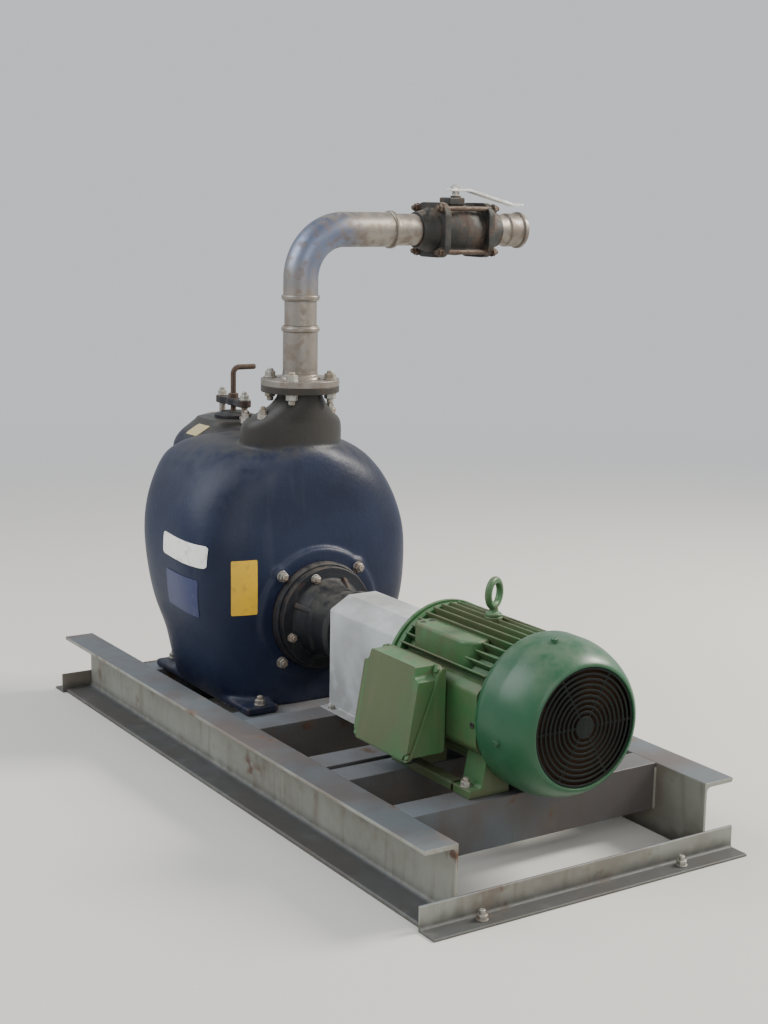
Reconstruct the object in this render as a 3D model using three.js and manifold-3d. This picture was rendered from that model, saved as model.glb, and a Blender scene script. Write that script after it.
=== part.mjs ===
// Self-priming centrifugal pump set on a steel skid, with its motor, riser, elbow and lever valve.
// Millimetres, +Z up. +X runs along the shaft from the pump to the motor, and +Y across the skid.
// While it is built, x = 0 is the pump end of the skid, y = 0 the shaft's plane and z = 0 the floor.
import * as THREE from "three";
import { mergeVertices } from "three/addons/utils/BufferGeometryUtils.js";
import Module from "manifold-3d";

const wasm = await Module();
wasm.setup();

// Seat gap between touching pieces
const GAP = 0.3;

// Skid: two channels with their webs on the inside, cross angles between them, end angles outside
const SKID_LENGTH = 1650;
const WEB_BACK = 300;
const CHANNEL_DEPTH = 150;
const CHANNEL_FLANGE = 75;
const CHANNEL_WEB = 6;
const CHANNEL_FLANGE_THICK = 9.5;
const END_ANGLE_LEG = 50;
const END_ANGLE_THICK = 5;
const END_ANGLE_LENGTH = 760;
const END_ANGLE_CENTRE_Y = -5;
const CROSS_TOP_LEG = 70;
const CROSS_DEPTH = 100;
const CROSS_THICK = 8;
const CROSS_FACE_X = { guard: 908, middle: 1187, motor_front: 1276, motor_rear: 1504 };
const PUMP_BEARER_FACE_X = { rear: 236, front: 712 };
const PUMP_BEARER_TOP = 100;

// Shaft line
const SHAFT_Z = 310;

// Pump casing: rounded rectangles stacked in z, as [z, centre x, half length in x, half width in y], then,
// where the front end differs, its own half length and roundness
const CASING_RINGS = [
  [100.3, 446, 206, 205],
  [118, 448, 205, 219],
  [170, 452, 201, 238],
  [240, 455, 197, 258],
  [320, 452, 198, 287],
  [400, 443, 205, 299],
  [480, 432, 210, 300, 210, 4],
  [550, 421, 207, 288, 213, 3.6],
  [610, 407, 196, 263, 221, 3.2],
  [655, 393, 179, 233, 227, 2.7],
  [680, 390, 155, 203, 224, 2.3],
  [696, 387, 125, 166, 220, 2.2],
  [706, 382, 88, 118, 214, 2.2],
  [711, 382, 48, 65, 186, 2],
];
const CASING_ROUNDNESS = 4;
const RING_SIDES = 48;
const BASE_RAIL = { x0: 200, x1: 694, inner: 130, outer: 214, thick: 20 };
const SEAL_PLATE_RADIUS = 138;
const SEAL_FACE_X = 657;
const SEAL_PLATE_THICK = 16;
const SEAT_MARGIN = 3;
const COVER_FACE_X = 220;
const COVER_PLATE_RADIUS = 138;
const COVER_PLATE_THICK = 16;
const COVER_KNOB_RADIUS = 40;
const COVER_KNOB_RISE = 14;
const BOSS_DEPTH = 60;
const FRONT_BOSS = { radius: 160, depth: 94, step: 3, edge: 6 };
const EAR = { circle: 146, radius: 21, count: 4, depth: 57 };

// Discharge on top of the casing, its neck stacked like the casing, with a wide flared foot
const DISCHARGE_X = 552;
const NECK_RINGS = [
  [560, 500, 98, 112],
  [650, 506, 96, 122],
  [700, 508, 93, 129],
  [742, 512, 88, 128],
  [761, 518, 82, 118],
  [770, 526, 76, 104],
  [780, 535, 69, 90],
  [792, 544, 62, 75],
  [805, 549, 57, 63],
  [818, 552, 54, 54],
  [832, 552, 52, 52],
];
const ROUND = 2;
const FLANGE_RADIUS = 92.5;
const FLANGE_THICK = 15;
const DISCHARGE_FACE_Z = 844;

// Suction on the end away from the motor
const SUCTION_Z = 620;
const SUCTION_FACE_X = 121;
const SUCTION_NECK_RADIUS = 76;
const SUCTION_NECK_END_X = 300;
const SUCTION_FLANGE_RADIUS = 107.5;
const SUCTION_TUBE_RADIUS = 57;
const SUCTION_BORE = 52;
const SUCTION_BORE_DEPTH = 54;
const SUCTION_STUB = 42;

// Priming port with its clamp
const FILL_X = 216;
const FILL_RINGS = [
  [520, 232, 50, 60],
  [560, 224, 78, 100],
  [600, 222, 84, 132],
  [640, 222, 86, 151],
  [668, 221, 86, 149],
  [690, 219, 84, 133],
  [705, 217, 82, 111],
  [717, 216, 80, 89],
  [728, 216, 79, 80],
];
const FILL_TOP = 728;
const FILL_COVER_RADIUS = 47;
const FILL_COVER_THICK = 15;
const FILL_COVER_EDGE = 9;
const FILL_COVER_CROWN_RADIUS = 30;
const CLAMP_BAR_LENGTH = 150;
const CLAMP_BAR_WIDTH = 32;
const CLAMP_BAR_THICK = 18;
const CLAMP_POST_RADIUS = 8;
const CLAMP_POST_OFFSET = 60;
const CLAMP_BAR_Z = 758;
const CLAMP_ROD_RADIUS = 7;
const CLAMP_ROD_TOP = 853;
const CLAMP_HANDLE_REACH = 62;
const CLAMP_BEND = 16;

// Bearing housing, shafts and coupling under the guard
const HOUSING = {
  flange: 122, flangeThick: 18, root: 93, rootRise: 3, waist: 83, waistRise: 32, barrel: 80,
  endFlange: 90, endThick: 24,
};
const HOUSING_END_X = 836;
const SHAFT_RADIUS = 19;
const COUPLING_RADIUS = 58;
const COUPLING_CENTRE_X = 985;
const COUPLING_HALF = 44;
const COUPLING_HUB_RADIUS = 36;
const COUPLING_HUB_LENGTH = 18;
const GUARD = { x0: 840, x1: 1124, half: 84, topHalf: 36, shoulder: 374, top: 402, sheet: 3, foot: 24 };

// Motor, 160 mm shaft height
const MOTOR_SHOULDER_X = 1142;
const MOTOR_FRAME_X0 = 1172;
const MOTOR_FRAME_X1 = 1490;
const MOTOR_ROOT_RADIUS = 124;
const MOTOR_FIN_RADIUS = 147;
const MOTOR_FIN_COUNT = 44;
const MOTOR_FIN_SHARE = 0.4;
const SIDE_PAD = { x0: 1214, x1: 1376, inner: 100, z0: 244, z1: 366 };
const SIDE_WALL = { x0: 1188, x1: 1484, inner: 100, outer: 147, z0: 236, z1: 372, slant: 14 };
const NAME_PAD = { x0: 1206, x1: 1408, y0: -116, y1: -60, z0: 376, z1: 436 };
const EYE_BOSS = { radius: 18, depth: 37, rise: 3 };
const SHIELD = { hub: 62, neck: 66, face: 138, rim: 148 };
const MOTOR_FOOT_X = { front: 1245, rear: 1455 };
const MOTOR_FOOT = { length: 62, y0: 64, y1: 160, web: 132, top: 118, thick: 18 };
const COWL_RADIUS = 158;
const COWL_END_X = 1632;
const COWL_ROLL = { x: 1545, radius: 121, power: 1.5, steps: 7 };
const GRILLE_DEPTH = 8;
const GRILLE_RADIUS = 117;
const BOX = { x0: 1199, x1: 1391, inner: 152, bottom: 216, top: 388, outerBottom: 232, outerTop: 165 };
const LID = { x0: 1193, x1: 1397, bottom: 208, top: 394, faceBottom: 245.6, faceTop: 214.3, roll: 24 };
const GLAND_X = 1322;
const GLAND_Y = -192;
const GLAND = { nut: 18, nutHigh: 12, waist: 13, cap: 16, end: 14, length: 34 };
const EYE_X = 1334;
const EYE_TURN = 25;
const EYE_RING = 21.5;
const EYE_WIRE = 6.5;
const EYE_CENTRE_Z = 513;
const EYE_FOOT = { radius: 17, thick: 6, neck: 9 };

// Pipework in 76.1 mm tube with pressed sockets
const TUBE_RADIUS = 38;
const SOCKET_RADIUS = 41;
const BEAD_RADIUS = 46;
const BEAD_HALF = 7;
const RISER_JOINT_LOW_Z = 976;
const RISER_JOINT_HIGH_Z = 1048;
const HEADER_Z = 1205;
const BEND_RADIUS = 114;
const HEADER_JOINT_Y = 246;
const HEADER_END_Y = 634;
const SOCKET_DEPTH = 44;

// Lever valve
const VALVE_Y = 435;
const VALVE_BODY_HALF = 56;
const VALVE_BODY_STEPS = [[54, -56], [56, -42], [60, -22], [62, 0], [60, 22], [56, 42], [54, 56]];
const VALVE_CAP_HALF_SIDE = 66;
const VALVE_CAP_THICK = 18;
const VALVE_HUB_HALF = 118;
const VALVE_HUB_RADIUS = 50;
const VALVE_CAP_CORNER = 0.42;
const BONNET = { base: 32, radius: 14, shoulder: 1253, top: 1287 };
const LEVER_STOP = { half: 22, near: -34, far: 14, low: 1264, high: 1283 };
const STEM_RADIUS = 9;
const STEM_TOP_Z = 1314;
const LEVER_Z = 1298;
const LEVER_THICK = 6;
const LEVER_WIDTH = 28;
const LEVER_FLAT = 34;
const LEVER_DROP = 34;
const LEVER_LENGTH = 205;
const LEVER_TIP = 36;
const LEVER_BACK = 26;

// Finishes
function finish(color, roughness, metalness) {
  return new THREE.MeshStandardMaterial({ color, roughness, metalness });
}

const skidSteel = finish(0x8f9188, 0.75, 0.3);
const navyPaint = finish(0x26365a, 0.45, 0.1);
const blackIron = finish(0x1d2025, 0.55, 0.3);
const guardPaint = finish(0xb9bdbd, 0.5, 0.1);
const greenPaint = finish(0x3c7a4c, 0.45, 0.1);
const bareSteel = finish(0xb5b6b4, 0.4, 0.9);
const stainless = finish(0x9c968c, 0.4, 0.8);
const rustyIron = finish(0x453a33, 0.8, 0.4);

// Shape helpers

// Merges a geometry's shared corners, drops flat triangles and makes its faces point outwards.
function closed(geometry) {
  const bare = new THREE.BufferGeometry();
  const loose = geometry.index ? geometry.toNonIndexed() : geometry;
  bare.setAttribute("position", loose.getAttribute("position"));
  const merged = mergeVertices(bare, 1e-3);
  const p = merged.getAttribute("position");
  const corner = [new THREE.Vector3(), new THREE.Vector3(), new THREE.Vector3()];
  const kept = [];
  let volume = 0;
  for (let i = 0; i < merged.index.count; i += 3) {
    const t = [0, 1, 2].map((k) => merged.index.getX(i + k));
    if (t[0] === t[1] || t[1] === t[2] || t[2] === t[0]) continue;
    t.forEach((v, k) => corner[k].fromBufferAttribute(p, v));
    volume += corner[0].dot(corner[1].clone().cross(corner[2]));
    kept.push(t);
  }
  merged.setIndex(kept.flatMap((t) => (volume < 0 ? [t[0], t[2], t[1]] : t)));
  return merged;
}

function solid(geometry) {
  const g = closed(geometry);
  const mesh = new wasm.Mesh({
    numProp: 3,
    vertProperties: g.getAttribute("position").array,
    triVerts: new Uint32Array(g.index.array),
  });
  return new wasm.Manifold(mesh);
}

function geometryOf(manifold) {
  const mesh = manifold.getMesh();
  const g = new THREE.BufferGeometry();
  g.setAttribute("position", new THREE.BufferAttribute(new Float32Array(mesh.vertProperties), 3));
  g.setIndex(new THREE.BufferAttribute(new Uint32Array(mesh.triVerts), 1));
  return g;
}

// Joins the first geometries into one and cuts the others from it.
function joined(parts, cuts = []) {
  let body = solid(parts[0]);
  parts.slice(1).forEach((part) => (body = body.add(solid(part))));
  cuts.forEach((cut) => (body = body.subtract(solid(cut))));
  return geometryOf(body);
}

function block(x0, x1, y0, y1, z0, z1) {
  const g = new THREE.BoxGeometry(x1 - x0, y1 - y0, z1 - z0);
  return g.translate((x0 + x1) / 2, (y0 + y1) / 2, (z0 + z1) / 2);
}

function outline(points) {
  return new THREE.Shape(points.map(([u, v]) => new THREE.Vector2(u, v)));
}

// An outline of [y, z] points pushed along X from x0 to x1.
function alongX(points, x0, x1) {
  const g = new THREE.ExtrudeGeometry(outline(points), { depth: x1 - x0, bevelEnabled: false });
  return g.applyMatrix4(new THREE.Matrix4().set(0, 0, 1, x0, 1, 0, 0, 0, 0, 1, 0, 0, 0, 0, 0, 1));
}

// An outline of [x, z] points pushed along Y from y0 to y1.
function alongY(points, y0, y1) {
  const g = new THREE.ExtrudeGeometry(outline(points), { depth: y1 - y0, bevelEnabled: false });
  return g.applyMatrix4(new THREE.Matrix4().set(1, 0, 0, 0, 0, 0, 1, y0, 0, 1, 0, 0, 0, 0, 0, 1));
}

// A profile of [radius, height] points turned round the Z axis.
function turnedZ(profile, x, y, sides = 40) {
  const g = new THREE.LatheGeometry(profile.map(([r, h]) => new THREE.Vector2(r, h)), sides);
  return g.rotateX(Math.PI / 2).translate(x, y, 0);
}

// A profile of [radius, x] points turned round the line y = 0, z = axisZ.
function turnedX(profile, axisZ, sides = 40) {
  const g = new THREE.LatheGeometry(profile.map(([r, h]) => new THREE.Vector2(r, h)), sides);
  return g.rotateZ(-Math.PI / 2).translate(0, 0, axisZ);
}

// A profile of [radius, y] points turned round the header's axis.
function turnedY(profile, sides = 40) {
  const g = new THREE.LatheGeometry(profile.map(([r, h]) => new THREE.Vector2(r, h)), sides);
  return g.translate(DISCHARGE_X, 0, HEADER_Z);
}

// A disc or ring between two heights of an axis, as a profile.
function drum(radius, a, b, bore = 0) {
  if (bore === 0) return [[0, a], [radius, a], [radius, b], [0, b]];
  return [[bore, a], [radius, a], [radius, b], [bore, b], [bore, a]];
}

const group = new THREE.Group();

function add(name, geometry, material) {
  const mesh = new THREE.Mesh(closed(geometry), material);
  mesh.name = name;
  group.add(mesh);
  return mesh;
}

// Skid

function channel(side) {
  const back = side * WEB_BACK;
  const inside = side * (WEB_BACK + CHANNEL_WEB);
  const toe = side * (WEB_BACK + CHANNEL_FLANGE);
  const low = CHANNEL_FLANGE_THICK;
  const high = CHANNEL_DEPTH - CHANNEL_FLANGE_THICK;
  const section = [
    [back, 0],
    [toe, 0],
    [toe, low],
    [inside, low],
    [inside, high],
    [toe, high],
    [toe, CHANNEL_DEPTH],
    [back, CHANNEL_DEPTH],
  ];
  return alongX(section, 0, SKID_LENGTH);
}

// An angle across an end: one leg stands against the channels' ends, the other lies outwards on the floor.
function endAngle(endX, out) {
  const face = endX + out * GAP;
  const section = [
    [face, 0],
    [face + out * END_ANGLE_LEG, 0],
    [face + out * END_ANGLE_LEG, END_ANGLE_THICK],
    [face + out * END_ANGLE_THICK, END_ANGLE_THICK],
    [face + out * END_ANGLE_THICK, END_ANGLE_LEG],
    [face, END_ANGLE_LEG],
  ];
  const y0 = END_ANGLE_CENTRE_Y - END_ANGLE_LENGTH / 2;
  return alongY(section, y0, y0 + END_ANGLE_LENGTH);
}

// An angle between the webs: the flat leg on top, the standing leg at the side nearer the motor.
function crossAngle(faceX, top) {
  const section = [
    [faceX - CROSS_TOP_LEG, top],
    [faceX - CROSS_TOP_LEG, top - CROSS_THICK],
    [faceX - CROSS_THICK, top - CROSS_THICK],
    [faceX - CROSS_THICK, top - CROSS_DEPTH],
    [faceX, top - CROSS_DEPTH],
    [faceX, top],
  ];
  return alongY(section, -WEB_BACK + GAP, WEB_BACK - GAP);
}

add("channel_near", channel(-1), skidSteel);
add("channel_far", channel(1), skidSteel);
add("end_angle_front", endAngle(SKID_LENGTH, 1), skidSteel);
add("end_angle_rear", endAngle(0, -1), skidSteel);
for (const [place, x] of Object.entries(PUMP_BEARER_FACE_X)) {
  add(`pump_bearer_${place}`, crossAngle(x, PUMP_BEARER_TOP), skidSteel);
}
for (const [place, x] of Object.entries(CROSS_FACE_X)) {
  add(`cross_angle_${place}`, crossAngle(x, CHANNEL_DEPTH), skidSteel);
}

// Pump casing

// One closed skin through a stack of rounded rectangles.
function stacked(rings, roundness) {
  const corners = [];
  const faces = [];
  rings.forEach(([z, centre, halfX, halfY, frontX = halfX, frontRoundness = roundness]) => {
    for (let i = 0; i < RING_SIDES; i += 1) {
      const angle = (2 * Math.PI * i) / RING_SIDES;
      const isFront = Math.cos(angle) > 0;
      const power = 2 / (isFront ? frontRoundness : roundness);
      const c = Math.sign(Math.cos(angle)) * Math.abs(Math.cos(angle)) ** power;
      const s = Math.sign(Math.sin(angle)) * Math.abs(Math.sin(angle)) ** power;
      corners.push(centre + (isFront ? frontX : halfX) * c, halfY * s, z);
    }
  });
  const at = (level, i) => level * RING_SIDES + (i % RING_SIDES);
  const last = rings.length - 1;
  for (let level = 0; level < last; level += 1) {
    for (let i = 0; i < RING_SIDES; i += 1) {
      faces.push(at(level, i), at(level, i + 1), at(level + 1, i + 1));
      faces.push(at(level, i), at(level + 1, i + 1), at(level + 1, i));
    }
  }
  const middle = corners.length / 3;
  corners.push(rings[0][1], 0, rings[0][0]);
  corners.push(rings[last][1], 0, rings[last][0]);
  for (let i = 0; i < RING_SIDES; i += 1) {
    faces.push(middle, at(0, i + 1), at(0, i));
    faces.push(middle + 1, at(last, i), at(last, i + 1));
  }
  const g = new THREE.BufferGeometry();
  g.setAttribute("position", new THREE.Float32BufferAttribute(corners, 3));
  g.setIndex(faces);
  return g;
}

function baseRail(side) {
  const low = PUMP_BEARER_TOP + GAP;
  const a = side * BASE_RAIL.inner;
  const b = side * BASE_RAIL.outer;
  return block(BASE_RAIL.x0, BASE_RAIL.x1, Math.min(a, b), Math.max(a, b), low, low + BASE_RAIL.thick);
}

function clampPost(side) {
  const x = FILL_X + side * CLAMP_POST_OFFSET;
  return turnedZ(drum(CLAMP_POST_RADIUS, FILL_TOP - 30, CLAMP_BAR_Z), x, 0, 16);
}

// Round boss on the front, stepped at the seal plate's seat, with bolt ears on its diagonals
const bossX = SEAL_FACE_X - FRONT_BOSS.depth;
const bossFace = SEAL_FACE_X - FRONT_BOSS.step;
const sealBoss = turnedX(
  [[0, bossX], [FRONT_BOSS.radius, bossX], [FRONT_BOSS.radius, bossFace - FRONT_BOSS.edge],
    [FRONT_BOSS.radius - FRONT_BOSS.edge, bossFace], [SEAL_PLATE_RADIUS + SEAT_MARGIN, bossFace],
    [SEAL_PLATE_RADIUS + SEAT_MARGIN, SEAL_FACE_X], [0, SEAL_FACE_X]],
  SHAFT_Z,
  56,
);

function bossEar(index) {
  const angle = ((index + 0.5) * 2 * Math.PI) / EAR.count;
  const z = SHAFT_Z + EAR.circle * Math.sin(angle);
  const ear = turnedX(drum(EAR.radius, bossFace - EAR.depth, bossFace), z, 20);
  return ear.translate(0, EAR.circle * Math.cos(angle), 0);
}
const coverSeat = COVER_PLATE_RADIUS + SEAT_MARGIN;
const coverBoss = turnedX(drum(coverSeat, COVER_FACE_X, COVER_FACE_X + BOSS_DEPTH), SHAFT_Z);
const suctionRim = SUCTION_FACE_X + FLANGE_THICK;
const suctionNeck = turnedX(
  [[0, SUCTION_FACE_X], [SUCTION_FLANGE_RADIUS, SUCTION_FACE_X], [SUCTION_FLANGE_RADIUS, suctionRim],
    [SUCTION_NECK_RADIUS, suctionRim + 2], [SUCTION_NECK_RADIUS, SUCTION_NECK_END_X],
    [0, SUCTION_NECK_END_X]],
  SUCTION_Z,
);
const dischargeDrum = drum(FLANGE_RADIUS, DISCHARGE_FACE_Z - FLANGE_THICK, DISCHARGE_FACE_Z);
const dischargeRim = turnedZ(dischargeDrum, DISCHARGE_X, 0);
add(
  "pump_casing",
  joined([
    stacked(CASING_RINGS, CASING_ROUNDNESS),
    baseRail(-1),
    baseRail(1),
    sealBoss,
    ...Array.from({ length: EAR.count }, (_, index) => bossEar(index)),
    coverBoss,
    suctionNeck,
    stacked(NECK_RINGS, ROUND),
    dischargeRim,
    stacked(FILL_RINGS, CASING_ROUNDNESS),
    clampPost(-1),
    clampPost(1),
  ]),
  navyPaint,
);

// Flange and pipe stub on the suction side, with an open mouth
const stubFace = SUCTION_FACE_X - GAP - FLANGE_THICK;
const stubEnd = stubFace - SUCTION_STUB;
const suctionSpool = turnedX(
  [[0, SUCTION_FACE_X - GAP], [SUCTION_FLANGE_RADIUS, SUCTION_FACE_X - GAP],
    [SUCTION_FLANGE_RADIUS, stubFace], [SUCTION_TUBE_RADIUS + 5, stubFace],
    [SUCTION_TUBE_RADIUS, stubFace - 5], [SUCTION_TUBE_RADIUS, stubEnd],
    [SUCTION_BORE, stubEnd], [SUCTION_BORE, stubEnd + SUCTION_BORE_DEPTH], [0, stubEnd + SUCTION_BORE_DEPTH]],
  SUCTION_Z,
);
add("suction_flange", suctionSpool, stainless);

// Round cover that is taken off to clean the impeller
const coverOuter = COVER_FACE_X - COVER_PLATE_THICK;
add(
  "cover_plate",
  turnedX(
    [[0, COVER_FACE_X - GAP], [COVER_PLATE_RADIUS, COVER_FACE_X - GAP], [COVER_PLATE_RADIUS, coverOuter],
      [COVER_KNOB_RADIUS, coverOuter], [COVER_KNOB_RADIUS - 6, coverOuter - COVER_KNOB_RISE],
      [0, coverOuter - COVER_KNOB_RISE]],
    SHAFT_Z,
  ),
  navyPaint,
);

// Priming port
const coverLow = FILL_TOP + GAP;
add(
  "fill_cover",
  turnedZ(
    [[0, coverLow], [FILL_COVER_RADIUS, coverLow], [FILL_COVER_RADIUS, coverLow + FILL_COVER_EDGE],
      [FILL_COVER_CROWN_RADIUS, coverLow + FILL_COVER_THICK], [0, coverLow + FILL_COVER_THICK]],
    FILL_X,
    0,
  ),
  blackIron,
);
const barLow = CLAMP_BAR_Z + GAP;
const barHalf = [CLAMP_BAR_LENGTH / 2, CLAMP_BAR_WIDTH / 2];
const barHigh = barLow + CLAMP_BAR_THICK;
add(
  "clamp_bar",
  joined(
    [block(FILL_X - barHalf[0], FILL_X + barHalf[0], -barHalf[1], barHalf[1], barLow, barHigh)],
    [turnedZ(drum(CLAMP_ROD_RADIUS + GAP, barLow - 10, barHigh + 10), FILL_X, 0, 24)],
  ),
  blackIron,
);

// Clamp screw: a rod through the bar, bent over at the top for a handle
function clampScrew() {
  const foot = coverLow + FILL_COVER_THICK + GAP;
  const path = new THREE.CurvePath();
  const low = new THREE.Vector3(FILL_X, 0, foot);
  const turn = new THREE.Vector3(FILL_X, 0, CLAMP_ROD_TOP - CLAMP_BEND);
  const knee = new THREE.Vector3(FILL_X, 0, CLAMP_ROD_TOP);
  const out = new THREE.Vector3(FILL_X, CLAMP_BEND, CLAMP_ROD_TOP);
  const end = new THREE.Vector3(FILL_X, CLAMP_HANDLE_REACH, CLAMP_ROD_TOP);
  path.add(new THREE.LineCurve3(low, turn));
  path.add(new THREE.QuadraticBezierCurve3(turn, knee, out));
  path.add(new THREE.LineCurve3(out, end));
  const section = new THREE.Shape();
  section.absarc(0, 0, CLAMP_ROD_RADIUS, 0, 2 * Math.PI);
  return new THREE.ExtrudeGeometry(section, { steps: 24, curveSegments: 6, extrudePath: path });
}
add("clamp_screw", clampScrew(), bareSteel);

// Bearing frame, shaft and coupling
const plateX = SEAL_FACE_X + GAP;
add("seal_plate", turnedX(drum(SEAL_PLATE_RADIUS, plateX, plateX + SEAL_PLATE_THICK), SHAFT_Z), blackIron);
const housingX = plateX + SEAL_PLATE_THICK + GAP;
const housingFace = housingX + HOUSING.flangeThick;
const housingRim = HOUSING_END_X - HOUSING.endThick;
add(
  "bearing_housing",
  turnedX(
    [[0, housingX], [HOUSING.flange, housingX], [HOUSING.flange, housingFace],
      [HOUSING.root, housingFace + HOUSING.rootRise], [HOUSING.waist, housingFace + HOUSING.waistRise],
      [HOUSING.barrel, housingRim - 2], [HOUSING.endFlange, housingRim], [HOUSING.endFlange, HOUSING_END_X],
      [0, HOUSING_END_X]],
    SHAFT_Z,
  ),
  blackIron,
);
const pumpHubX = COUPLING_CENTRE_X - COUPLING_HALF;
const motorHubX = COUPLING_CENTRE_X + COUPLING_HALF;
const motorHubRim = motorHubX - COUPLING_HUB_LENGTH;
add("pump_shaft", turnedX(drum(SHAFT_RADIUS, HOUSING_END_X + GAP, pumpHubX - GAP), SHAFT_Z, 24), bareSteel);
add(
  "coupling_pump_half",
  turnedX(
    [[0, pumpHubX], [COUPLING_HUB_RADIUS, pumpHubX], [COUPLING_HUB_RADIUS, pumpHubX + COUPLING_HUB_LENGTH],
      [COUPLING_RADIUS, pumpHubX + COUPLING_HUB_LENGTH + 2], [COUPLING_RADIUS, COUPLING_CENTRE_X - GAP],
      [0, COUPLING_CENTRE_X - GAP]],
    SHAFT_Z,
  ),
  blackIron,
);
add(
  "coupling_motor_half",
  turnedX(
    [[0, COUPLING_CENTRE_X], [COUPLING_RADIUS, COUPLING_CENTRE_X], [COUPLING_RADIUS, motorHubRim - 2],
      [COUPLING_HUB_RADIUS, motorHubRim], [COUPLING_HUB_RADIUS, motorHubX], [0, motorHubX]],
    SHAFT_Z,
  ),
  blackIron,
);
const motorShaft = drum(SHAFT_RADIUS + 2, motorHubX + GAP, MOTOR_SHOULDER_X - GAP);
add("motor_shaft", turnedX(motorShaft, SHAFT_Z, 24), bareSteel);

// Coupling guard: a folded sheet hood on out-turned feet, open underneath and at both ends
function couplingGuard() {
  const low = CHANNEL_DEPTH + GAP;
  const t = GUARD.sheet;
  const outer = [
    [GUARD.half + GUARD.foot, low],
    [GUARD.half + GUARD.foot, low + t],
    [GUARD.half, low + t],
    [GUARD.half, GUARD.shoulder],
    [GUARD.topHalf, GUARD.top],
  ];
  const inner = [
    [GUARD.topHalf - 1, GUARD.top - t],
    [GUARD.half - t, GUARD.shoulder - 1],
    [GUARD.half - t, low],
  ];
  const mirror = (points) => points.map(([y, z]) => [-y, z]).reverse();
  return alongX([...outer, ...mirror(outer), ...mirror(inner), ...inner], GUARD.x0, GUARD.x1);
}
add("coupling_guard", couplingGuard(), guardPaint);

// Motor

// Round frame with fins along the shaft, as one outline.
function finnedOutline() {
  const points = [];
  const pitch = (2 * Math.PI) / MOTOR_FIN_COUNT;
  for (let i = 0; i < MOTOR_FIN_COUNT; i += 1) {
    const half = (pitch * MOTOR_FIN_SHARE) / 2;
    const tips = [[-half, MOTOR_ROOT_RADIUS], [-half * 0.6, MOTOR_FIN_RADIUS], [half * 0.6, MOTOR_FIN_RADIUS],
      [half, MOTOR_ROOT_RADIUS]];
    tips.forEach(([turn, r]) => {
      const angle = i * pitch + turn;
      points.push([r * Math.cos(angle), SHAFT_Z + r * Math.sin(angle)]);
    });
  }
  return points;
}

// One foot. The rear ones carry a plate of the given reach that runs on to the foot in front.
function motorFoot(x, side, reach) {
  const low = CHANNEL_DEPTH + GAP;
  const half = MOTOR_FOOT.length / 2;
  const section = [
    [side * MOTOR_FOOT.y0, low],
    [side * MOTOR_FOOT.y1, low],
    [side * MOTOR_FOOT.y1, low + MOTOR_FOOT.thick],
    [side * MOTOR_FOOT.web, low + MOTOR_FOOT.thick],
    [side * MOTOR_FOOT.top, SHAFT_Z - 70],
    [side * MOTOR_FOOT.y0, SHAFT_Z - 70],
  ];
  const seat = turnedX(drum(MOTOR_FIN_RADIUS + GAP, x - half - 10, x + half + 10), SHAFT_Z, 72);
  const foot = alongX(section, x - half, x + half);
  if (reach === 0) return joined([foot], [seat]);
  const edges = [side * MOTOR_FOOT.web, side * MOTOR_FOOT.y1];
  const [inner, outer] = [Math.min(...edges), Math.max(...edges)];
  const plate = block(x - half - reach, x, inner, outer, low, low + MOTOR_FOOT.thick);
  return joined([foot, plate], [seat]);
}

const sidePad = block(SIDE_PAD.x0, SIDE_PAD.x1, -BOX.inner, -SIDE_PAD.inner, SIDE_PAD.z0, SIDE_PAD.z1);
const wallSection = [
  [-SIDE_WALL.inner, SIDE_WALL.z0],
  [-SIDE_WALL.outer + SIDE_WALL.slant, SIDE_WALL.z0],
  [-SIDE_WALL.outer, SIDE_WALL.z0 + SIDE_WALL.slant],
  [-SIDE_WALL.outer, SIDE_WALL.z1 - SIDE_WALL.slant],
  [-SIDE_WALL.outer + SIDE_WALL.slant, SIDE_WALL.z1],
  [-SIDE_WALL.inner, SIDE_WALL.z1],
];
const sideWall = alongX(wallSection, SIDE_WALL.x0, SIDE_WALL.x1);
const namePad = block(NAME_PAD.x0, NAME_PAD.x1, NAME_PAD.y0, NAME_PAD.y1, NAME_PAD.z0, NAME_PAD.z1);
const eyeSeat = SHAFT_Z + MOTOR_FIN_RADIUS + EYE_BOSS.rise;
const eyeBoss = turnedZ(drum(EYE_BOSS.radius, eyeSeat - EYE_BOSS.depth, eyeSeat), EYE_X, 0, 24);
add(
  "motor_frame",
  joined([alongX(finnedOutline(), MOTOR_FRAME_X0, MOTOR_FRAME_X1), sidePad, sideWall, namePad, eyeBoss]),
  greenPaint,
);
add(
  "drive_end_shield",
  turnedX(
    [[0, MOTOR_SHOULDER_X], [SHIELD.hub, MOTOR_SHOULDER_X], [SHIELD.neck, MOTOR_SHOULDER_X + 12],
      [SHIELD.face, MOTOR_SHOULDER_X + 14], [SHIELD.rim, MOTOR_SHOULDER_X + 20],
      [SHIELD.rim, MOTOR_FRAME_X0 - GAP], [0, MOTOR_FRAME_X0 - GAP]],
    SHAFT_Z,
  ),
  greenPaint,
);
const cowlX = MOTOR_FRAME_X1 + GAP;
const grilleSeat = COWL_END_X - GRILLE_DEPTH;

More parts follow.
